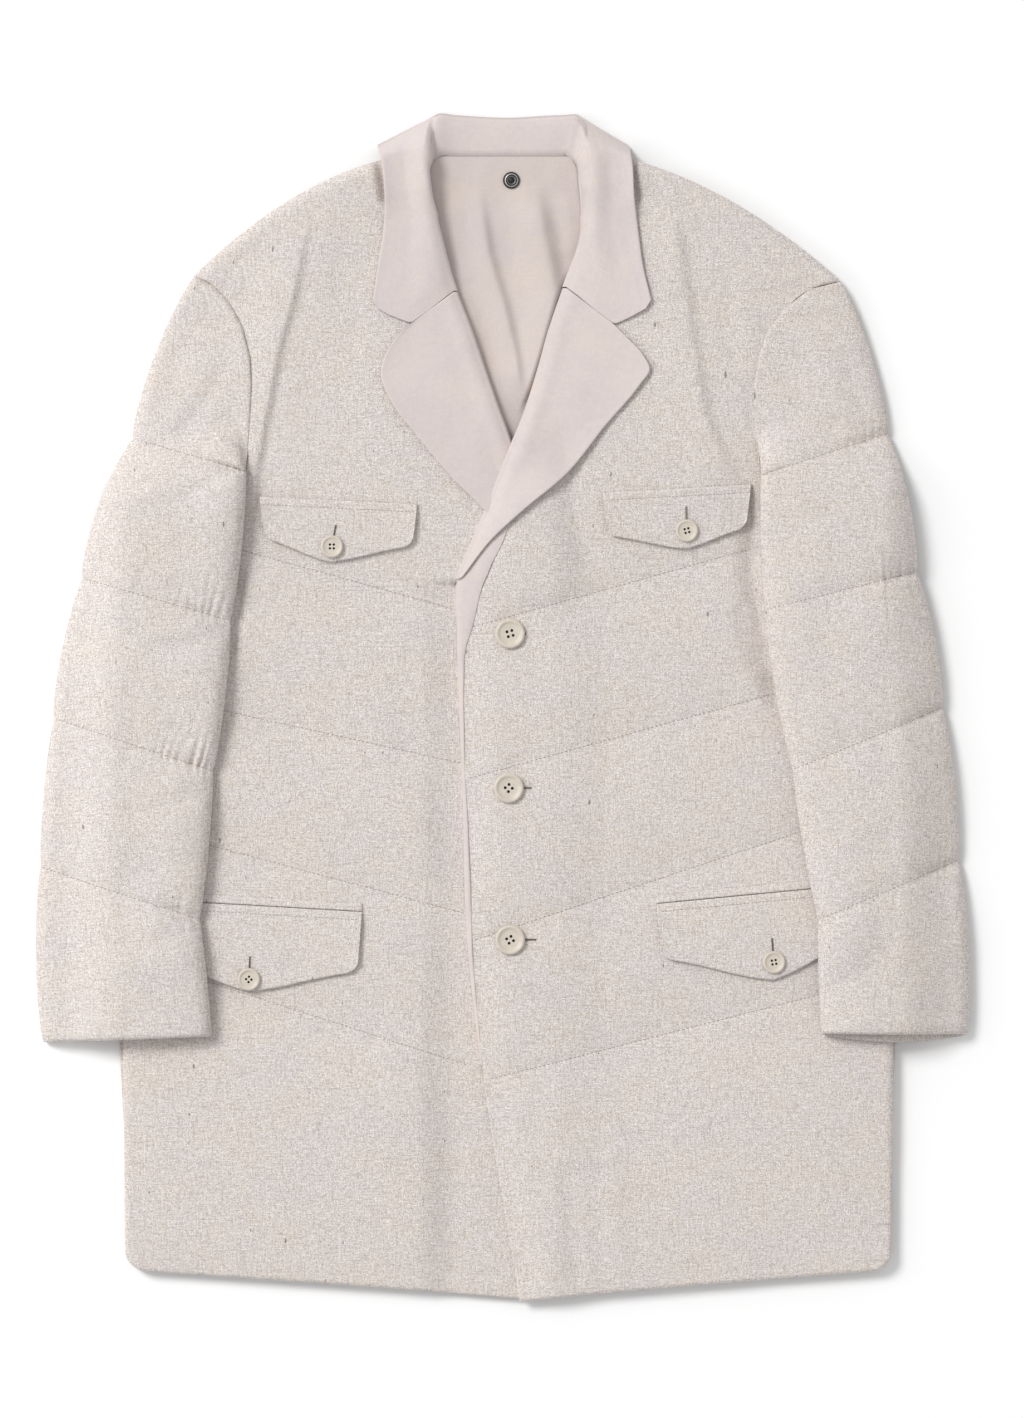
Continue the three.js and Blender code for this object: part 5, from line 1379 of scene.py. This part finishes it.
def maths(tree, operation, a, b=None, c=None):
    node = tree.nodes.new("ShaderNodeMath")
    node.operation = operation
    for socket, value in zip(node.inputs, (a, b, c)):
        if isinstance(value, bpy.types.NodeSocket):
            tree.links.new(value, socket)
        elif value is not None:
            socket.default_value = value
    return node.outputs[0]


def blend(tree, share, a, b, mode="MIX"):
    node = tree.nodes.new("ShaderNodeMix")
    node.data_type, node.blend_type = "RGBA", mode
    for socket, value in ((node.inputs[0], share), (node.inputs[6], a), (node.inputs[7], b)):
        if isinstance(value, bpy.types.NodeSocket):
            tree.links.new(value, socket)
        else:
            socket.default_value = value
    return node.outputs[2]


def grain(tree, place, stretch, scale, detail=2.0, roughness=0.6):
    """Noise over the cloth, with its lumps stretched along x or y."""
    mapped = new_node(tree, "ShaderNodeMapping", Vector=place)
    mapped.inputs["Scale"].default_value = (*stretch, 1.0)
    texture = new_node(tree, "ShaderNodeTexNoise", Vector=mapped.outputs[0], Scale=scale, Detail=detail,
                       Roughness=roughness)
    return texture.outputs["Fac"]


YARN_PITCH = 0.00125  # metres from one raised yarn to the next


def woven_group():
    group = bpy.data.node_groups.new("woven", "ShaderNodeTree")
    group.interface.new_socket("Place", in_out="INPUT", socket_type="NodeSocketVector")
    for name in ("Light", "Dark", "Warm", "Cool", "Fleck"):
        group.interface.new_socket(name, in_out="INPUT", socket_type="NodeSocketColor")
    for name in ("Contrast", "Slubs", "Flecks", "Drift"):
        group.interface.new_socket(name, in_out="INPUT", socket_type="NodeSocketFloat")
    group.interface.new_socket("Color", in_out="OUTPUT", socket_type="NodeSocketColor")
    group.interface.new_socket("Height", in_out="OUTPUT", socket_type="NodeSocketFloat")
    given = group.nodes.new("NodeGroupInput").outputs
    place = given["Place"]

    def weighed(*parts):
        """The sum of values, each times its weight."""
        total = maths(group, "MULTIPLY", *parts[0])
        for part in parts[1:]:
            total = maths(group, "ADD", total, maths(group, "MULTIPLY", *part))
        return total

    def contrasted(value, gain):
        """A value that stays at its middle and spreads further from it."""
        return maths(group, "MULTIPLY_ADD", maths(group, "SUBTRACT", value, 0.5), gain, 0.5)

    def single_threads(scale, *ways):
        """Threads down and across the cloth, where noise that is stretched along them passes a level."""
        found = [maths(group, "GREATER_THAN", grain(group, place, stretch, scale, 1.0), level)
                 for stretch, level in ways]
        return maths(group, "MAXIMUM", *found)

    speckle = grain(group, place, (1, 1), 1050, 3.0, 0.8)
    grit = grain(group, place, (1, 1), 420, 2.0, 0.6)
    weft = grain(group, place, (0.14, 1), 950, 2.0)
    warp = grain(group, place, (1, 0.12), 950, 2.0)
    mixed = weighed((speckle, 0.6), (grit, 0.16), (weighed((weft, 0.5), (warp, 0.5)), 0.24))
    base = blend(group, contrasted(mixed, given["Contrast"]), given["Dark"], given["Light"])
    hue = contrasted(grain(group, place, (1, 1), 230, 3.0, 0.7), 3.0)
    broad = contrasted(grain(group, place, (1, 1.4), 17, 3.0, 0.6), 3.2)
    tint = blend(group, weighed((hue, 0.5), (broad, 0.5)), given["Cool"], given["Warm"])
    base = blend(group, given["Drift"], base, blend(group, 1.0, base, tint, "MULTIPLY"))
    slub = single_threads(520, ((1, 0.05), 0.7), ((0.05, 1), 0.71))
    base = blend(group, maths(group, "MULTIPLY", slub, given["Slubs"]), base, given["Light"])
    dark_slub = single_threads(560, ((1, 0.07), 0.66), ((0.06, 1), 0.66))
    base = blend(group, maths(group, "MULTIPLY", dark_slub, given["Slubs"]), base, given["Dark"])
    fleck = maths(group, "GREATER_THAN", grain(group, place, (1, 0.35), 300, 0.0), 0.87)
    base = blend(group, maths(group, "MULTIPLY", fleck, given["Flecks"]), base, given["Fleck"])
    waves = []
    for axis in (0, 1):
        split = new_node(group, "ShaderNodeSeparateXYZ", Vector=place)
        wobble = maths(group, "MULTIPLY", grain(group, place, (1, 1), 160, 1.0), 1.6)
        turns = maths(group, "MULTIPLY", split.outputs[axis], 2 * math.pi / YARN_PITCH)
        waves.append(maths(group, "SINE", maths(group, "ADD", turns, wobble)))
    weave = maths(group, "MULTIPLY", *waves)
    thick_yarn = maths(group, "MULTIPLY", given["Slubs"], 0.8)
    height = weighed((weave, 0.22), (mixed, 1.6), (slub, thick_yarn))
    out = group.nodes.new("NodeGroupOutput")
    group.links.new(base, out.inputs["Color"])
    group.links.new(height, out.inputs["Height"])
    return group


WOVEN = woven_group()
print("woven group:", len(WOVEN.nodes), "nodes")

# %% Cloth materials
def new_material(name):
    material = bpy.data.materials.new(name)
    material.use_nodes = True
    tree = material.node_tree
    return material, tree, tree.nodes["Principled BSDF"]


def roughen(tree, shader, height, distance):
    """A height in the material becomes bumps, up to a distance in metres."""
    relief = new_node(tree, "ShaderNodeBump", Height=height, Strength=1.0)
    relief.inputs["Distance"].default_value = distance
    tree.links.new(relief.outputs["Normal"], shader.inputs["Normal"])


def cloth_material(name, bump, sheen, **weave):
    """A matte cloth; weave names inputs of the woven group."""
    material, tree, shader = new_material(name)
    woven = tree.nodes.new("ShaderNodeGroup")
    woven.node_tree = WOVEN
    uv = tree.nodes.new("ShaderNodeUVMap")
    uv.uv_map = "cloth"
    tree.links.new(uv.outputs["UV"], woven.inputs["Place"])
    for socket, value in weave.items():
        woven.inputs[socket].default_value = value
    tree.links.new(woven.outputs["Color"], shader.inputs["Base Color"])
    roughen(tree, shader, woven.outputs["Height"], bump)
    shader.inputs["Roughness"].default_value = 0.92
    shader.inputs["Specular IOR Level"].default_value = 0.2
    shader.inputs["Sheen Weight"].default_value = sheen
    shader.inputs["Sheen Roughness"].default_value = 0.5
    return material


TWEED = cloth_material(
    "tweed", bump=0.00045, sheen=0.12, Light=colour(255, 251, 247), Dark=colour(178, 167, 160),
    Warm=colour(255, 249, 240), Cool=colour(249, 246, 252), Fleck=colour(112, 96, 88), Contrast=5.2,
    Slubs=0.3, Flecks=0.7, Drift=0.65,
)
LINEN = cloth_material(
    "linen", bump=0.00012, sheen=0.08, Light=colour(236, 226, 223), Dark=colour(199, 190, 187),
    Warm=colour(255, 252, 246), Cool=colour(241, 239, 243), Fleck=colour(170, 150, 140), Contrast=1.1,
    Slubs=0.08, Flecks=0.0, Drift=0.9,
)
LINING = cloth_material(
    "lining", bump=0.00012, sheen=0.05, Light=colour(230, 220, 216), Dark=colour(190, 181, 177),
    Warm=colour(255, 251, 244), Cool=colour(246, 244, 248), Fleck=colour(170, 150, 140), Contrast=1.2,
    Slubs=0.1, Flecks=0.0, Drift=0.9,
)


# %% Hard finishes and thread
def plain_material(name, base, rough, metal, scale, variation, bump):
    """A finish on Object coordinates with a fine cloudiness in colour, gloss and surface."""
    material, tree, shader = new_material(name)
    place = tree.nodes.new("ShaderNodeTexCoord").outputs["Object"]
    cloud = grain(tree, place, (1, 1), scale, 4.0)
    shade = tuple(c * variation for c in base[:3]) + (1.0,)
    tree.links.new(blend(tree, cloud, shade, base), shader.inputs["Base Color"])
    tree.links.new(maths(tree, "MULTIPLY_ADD", cloud, 0.2, rough), shader.inputs["Roughness"])
    roughen(tree, shader, cloud, bump)
    shader.inputs["Metallic"].default_value = metal
    return material


# painted highlight: a pale copy of the snap's metal for the rings where its ridges catch the light
PAINTED_GLINT_METAL = plain_material("painted_glint_metal", colour(190, 186, 184), 0.35, 0.8, 600, 0.7, 0.00002)
HORN = plain_material("horn", colour(222, 212, 198), 0.28, 0.0, 260, 0.72, 0.00003)
SNAP_METAL = plain_material("snap_metal", colour(62, 60, 62), 0.32, 0.6, 600, 0.5, 0.00002)
# near-black thread for the button holes and the open buttonhole slits: its colour paints the shade in them
HOLE_SHADE_THREAD = plain_material("hole_shade_thread", colour(20, 17, 16), 0.8, 0.0, 2400, 0.6, 0.0001)
SEAM_THREAD = plain_material("seam_thread", colour(168, 154, 145), 0.85, 0.0, 2400, 0.75, 0.0001)

# %% [markdown]
# ## Sewing it together
# With the stitch tree and the threads ready, the seams are drawn on the finished surfaces: their
# height is read back from the grid of the panel, so each stitch sits in its valley.

# %% Quilting, flap seams and buttonholes
def on_grid(grid, points, lift):
    """Lifts plan points onto a panel's face."""
    flat = grid.reshape(-1, 3)
    lifted = []
    for point in points:
        nearest = np.argpartition(np.hypot(flat[:, 0] - point[0], flat[:, 1] - point[1]), 4)[:4]
        away = np.hypot(flat[nearest, 0] - point[0], flat[nearest, 1] - point[1]) + 0.05
        lifted.append((point[0], point[1], float((flat[nearest, 2] / away).sum() / (1 / away).sum()) + lift))
    return lifted


def between(a, b, step=1.5):
    a, b = np.array(a, float), np.array(b, float)
    return mix(a, b, np.linspace(0, 1, max(2, int(np.linalg.norm(b - a) / step)))[:, None])


QUILTING_STARTS = {1: 0.02, -1: 0.18}  # on the right front, the left one covers the seams' first part
seam_pieces = {}
for side, label in ((1, "left"), (-1, "right")):
    lines = []
    for a, b in quilt_lines(side):
        a = mix(np.array(a), np.array(b), QUILTING_STARTS[side])
        lines.append(on_grid(fronts[side], between(a, b), 0.12))
    name = f"quilting_{label}"
    seam_pieces[name] = sewn(name, lines, QUILTING, SEAM_THREAD)
    lines = [sleeve_grids[side][CHANNEL_ROWS * k, 3:-3] + [0, 0, 0.15] for k in range(1, CHANNELS)]
    name = f"sleeve_quilting_{label}"
    seam_pieces[name] = sewn(name, lines, QUILTING, SEAM_THREAD)

for name, side, ix, iy, ox, oy, *_ in FLAPS:
    a, b = np.array([ix, iy - FLAP_SEAM], float), np.array([ox, oy - FLAP_SEAM], float)
    line = on_grid(flap_grids[name], between(mix(a, b, 0.03), mix(a, b, 0.97)), 0.12)
    seam_pieces[name + "_seam"] = sewn(name + "_seam", [line], FLAP_STITCH, SEAM_THREAD)

BUTTONHOLES = [  # name, grid, from x and y, to x and y: worked with close stitches across both lips
    ("front_hole_2", 1, (4, -61), (21, -61)), ("front_hole_3", 1, (5, -176), (24.5, -176)),
    ("front_hole_1", 1, (5, 56), (17, 56)),
    ("chest_hole_left", "chest_flap_left", (139, 134), (138.5, 152)),
    ("chest_hole_right", "chest_flap_right", (-130, 122), (-127, 138)),
    ("hip_hole_left", "hip_flap_left", (205, -193), (203.5, -175)),
    ("hip_hole_right", "hip_flap_right", (-193, -206), (-192, -189)),
]
for name, carrier, a, b in BUTTONHOLES:
    a, b = np.array(a, float), np.array(b, float)
    way = (b - a) / np.linalg.norm(b - a)
    cross = np.array([-way[1], way[0]])
    grid = fronts[carrier] if carrier in fronts else flap_grids[carrier]
    lips = [on_grid(grid, between(a + cross * off, b + cross * off, 0.6), 0.1) for off in (-0.55, 0.55)]
    seam_pieces[name] = sewn(name, lips, BUTTONHOLE, SEAM_THREAD)
    slit = on_grid(grid, between(a, b + way * 0.2, 0.6), 0.22)
    # the near-black thread along an open slit paints the shade in the slit
    shade = SEAM_THREAD if name == "chest_hole_left" else HOLE_SHADE_THREAD  # this one is closed, and looks pale
    seam_pieces[name + "_slit"] = sewn(name + "_slit", [slit], SLIT, shade)

# %% [markdown]
# ## Dressing the frame
# Each piece is cut cloth that was laid or folded into place. It now gets its material and replaces the
# solids that it stands for. Pieces that are sewn on, such as stitches, only ride along.

# %% Finish, ride and replace
def dress(piece, material, slot, *nodes):
    if material:
        piece.data.materials.clear()
        piece.data.materials.append(material)
    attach(piece, "root")
    if nodes:
        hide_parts(*nodes)
    return piece


CUTS = [  # piece, material, slot, node, width and length of its cut in metres, how it is held
    (front_left, TWEED, "tweed", "front_left", (0.37, 0.90), "laid"),
    (front_right, TWEED, "tweed", "front_right", (0.37, 0.90), "laid"),
    (back, TWEED, "tweed", "back", (0.62, 0.86), "laid"),
    (lining, LINING, "linen", "back_lining", (0.17, 0.26), "laid"),
    (lapel_left, LINEN, "linen", "lapel_left", (0.11, 0.26), "folded"),
    (lapel_right, LINEN, "linen", "lapel_right", (0.10, 0.25), "folded"),
    (facing, LINEN, "linen", "facing_edge", (0.03, 0.41), "laid"),
    (collar, LINEN, "linen", "collar", (0.10, 0.56), "folded"),
    *((flaps[f[0]], TWEED, "tweed", f[0], (0.125, 0.055) if "chest" in f[0] else (0.17, 0.075), "laid")
      for f in FLAPS),
    *((jet, TWEED, "tweed", name, (0.16, 0.018), "folded") for name, jet in jets.items()),
    *((sleeves[s][0], TWEED, "tweed", f"sleeve_under_{s}", (0.14, 0.62), "laid") for s in ("left", "right")),
    *((sleeves[s][1], TWEED, "tweed", f"sleeve_top_{s}", (0.16, 0.63), "laid") for s in ("left", "right")),
]
for piece, material, slot, node, flat, held in CUTS:
    dress(piece, material, slot, node)

for name, (button, thread) in buttons.items():
    dress(button, HORN, "button", name)
    # the near-black knots paint the shade in the button holes
    dress(thread, HOLE_SHADE_THREAD, "button")
dress(snap, SNAP_METAL, "snap", "neck_snap")
# two rings of the black snap take the pale metal, which paints the highlights on its ridges
snap.data.materials.append(PAINTED_GLINT_METAL)
snap_centre = (np.array([SNAP["x"], SNAP["y"], 0]) + SHIFT) * MM
PAINTED_GLINT_RINGS = [(0.68, 0.8), (0.44, 0.52)]  # from and to, as shares of the radius
for polygon in snap.data.polygons:
    off = polygon.center - Vector(snap_centre)
    away = math.hypot(off.x, off.y) / (SNAP["radius"] * MM)
    polygon.material_index = int(any(low < away < high for low, high in PAINTED_GLINT_RINGS))
for piece in seam_pieces.values():
    dress(piece, None, "tweed")

# %% [markdown]
# ## Table and light
# A white table under an even studio light. The key light is large and stands to the upper left, as in
# the photograph, so the quilting shades gently towards the lower right. A weak sky fills the shadows.

# %% Stage
HALF_TABLE, BELOW = 4.0, 0.0003  # the table lies a hair under the cloth
table_corners = [(x * HALF_TABLE, y * HALF_TABLE, 0) for x, y in ((-1, -1), (1, -1), (1, 1), (-1, 1))]
table_mesh = bpy.data.meshes.new("table")
table_mesh.from_pydata(table_corners, [], [(0, 1, 2, 3)])
table_top = bpy.data.objects.new("table_top", table_mesh)
table_mesh.transform(Matrix.Translation((0, 0, -BELOW)))
bpy.context.collection.objects.link(table_top)
white, _, white_shader = new_material("table_white")
white_shader.inputs["Base Color"].default_value = (0.965, 0.965, 0.965, 1)
white_shader.inputs["Roughness"].default_value = 0.9
table_mesh.materials.append(white)

# %% Light and view
def lamp(name, kind, aim, place=(0, 0, 0), **settings):
    data = bpy.data.lights.new(name, kind)
    for setting, value in settings.items():
        setattr(data, setting, value)
    light = bpy.data.objects.new(name, data)
    light.location = place
    light.rotation_euler = Vector(aim).to_track_quat("-Z", "Y").to_euler()
    light.visible_camera = False
    bpy.context.collection.objects.link(light)
    return light


lamp("key", "SUN", (1.5, -1.2, -2.1), energy=1.75, angle=math.radians(20))
lamp("side", "AREA", (0.68, -0.1, -0.8), (-0.95, 0.15, 0.8), energy=1.8, size=0.5)
world = bpy.data.worlds.new("studio")
world.use_nodes = True
world.node_tree.nodes["Background"].inputs["Color"].default_value = (1, 1, 1, 1)
world.node_tree.nodes["Background"].inputs["Strength"].default_value = 0.6
bpy.context.scene.world = world
bpy.context.scene.view_settings.view_transform = "Standard"
bpy.context.scene.view_settings.look = "None"
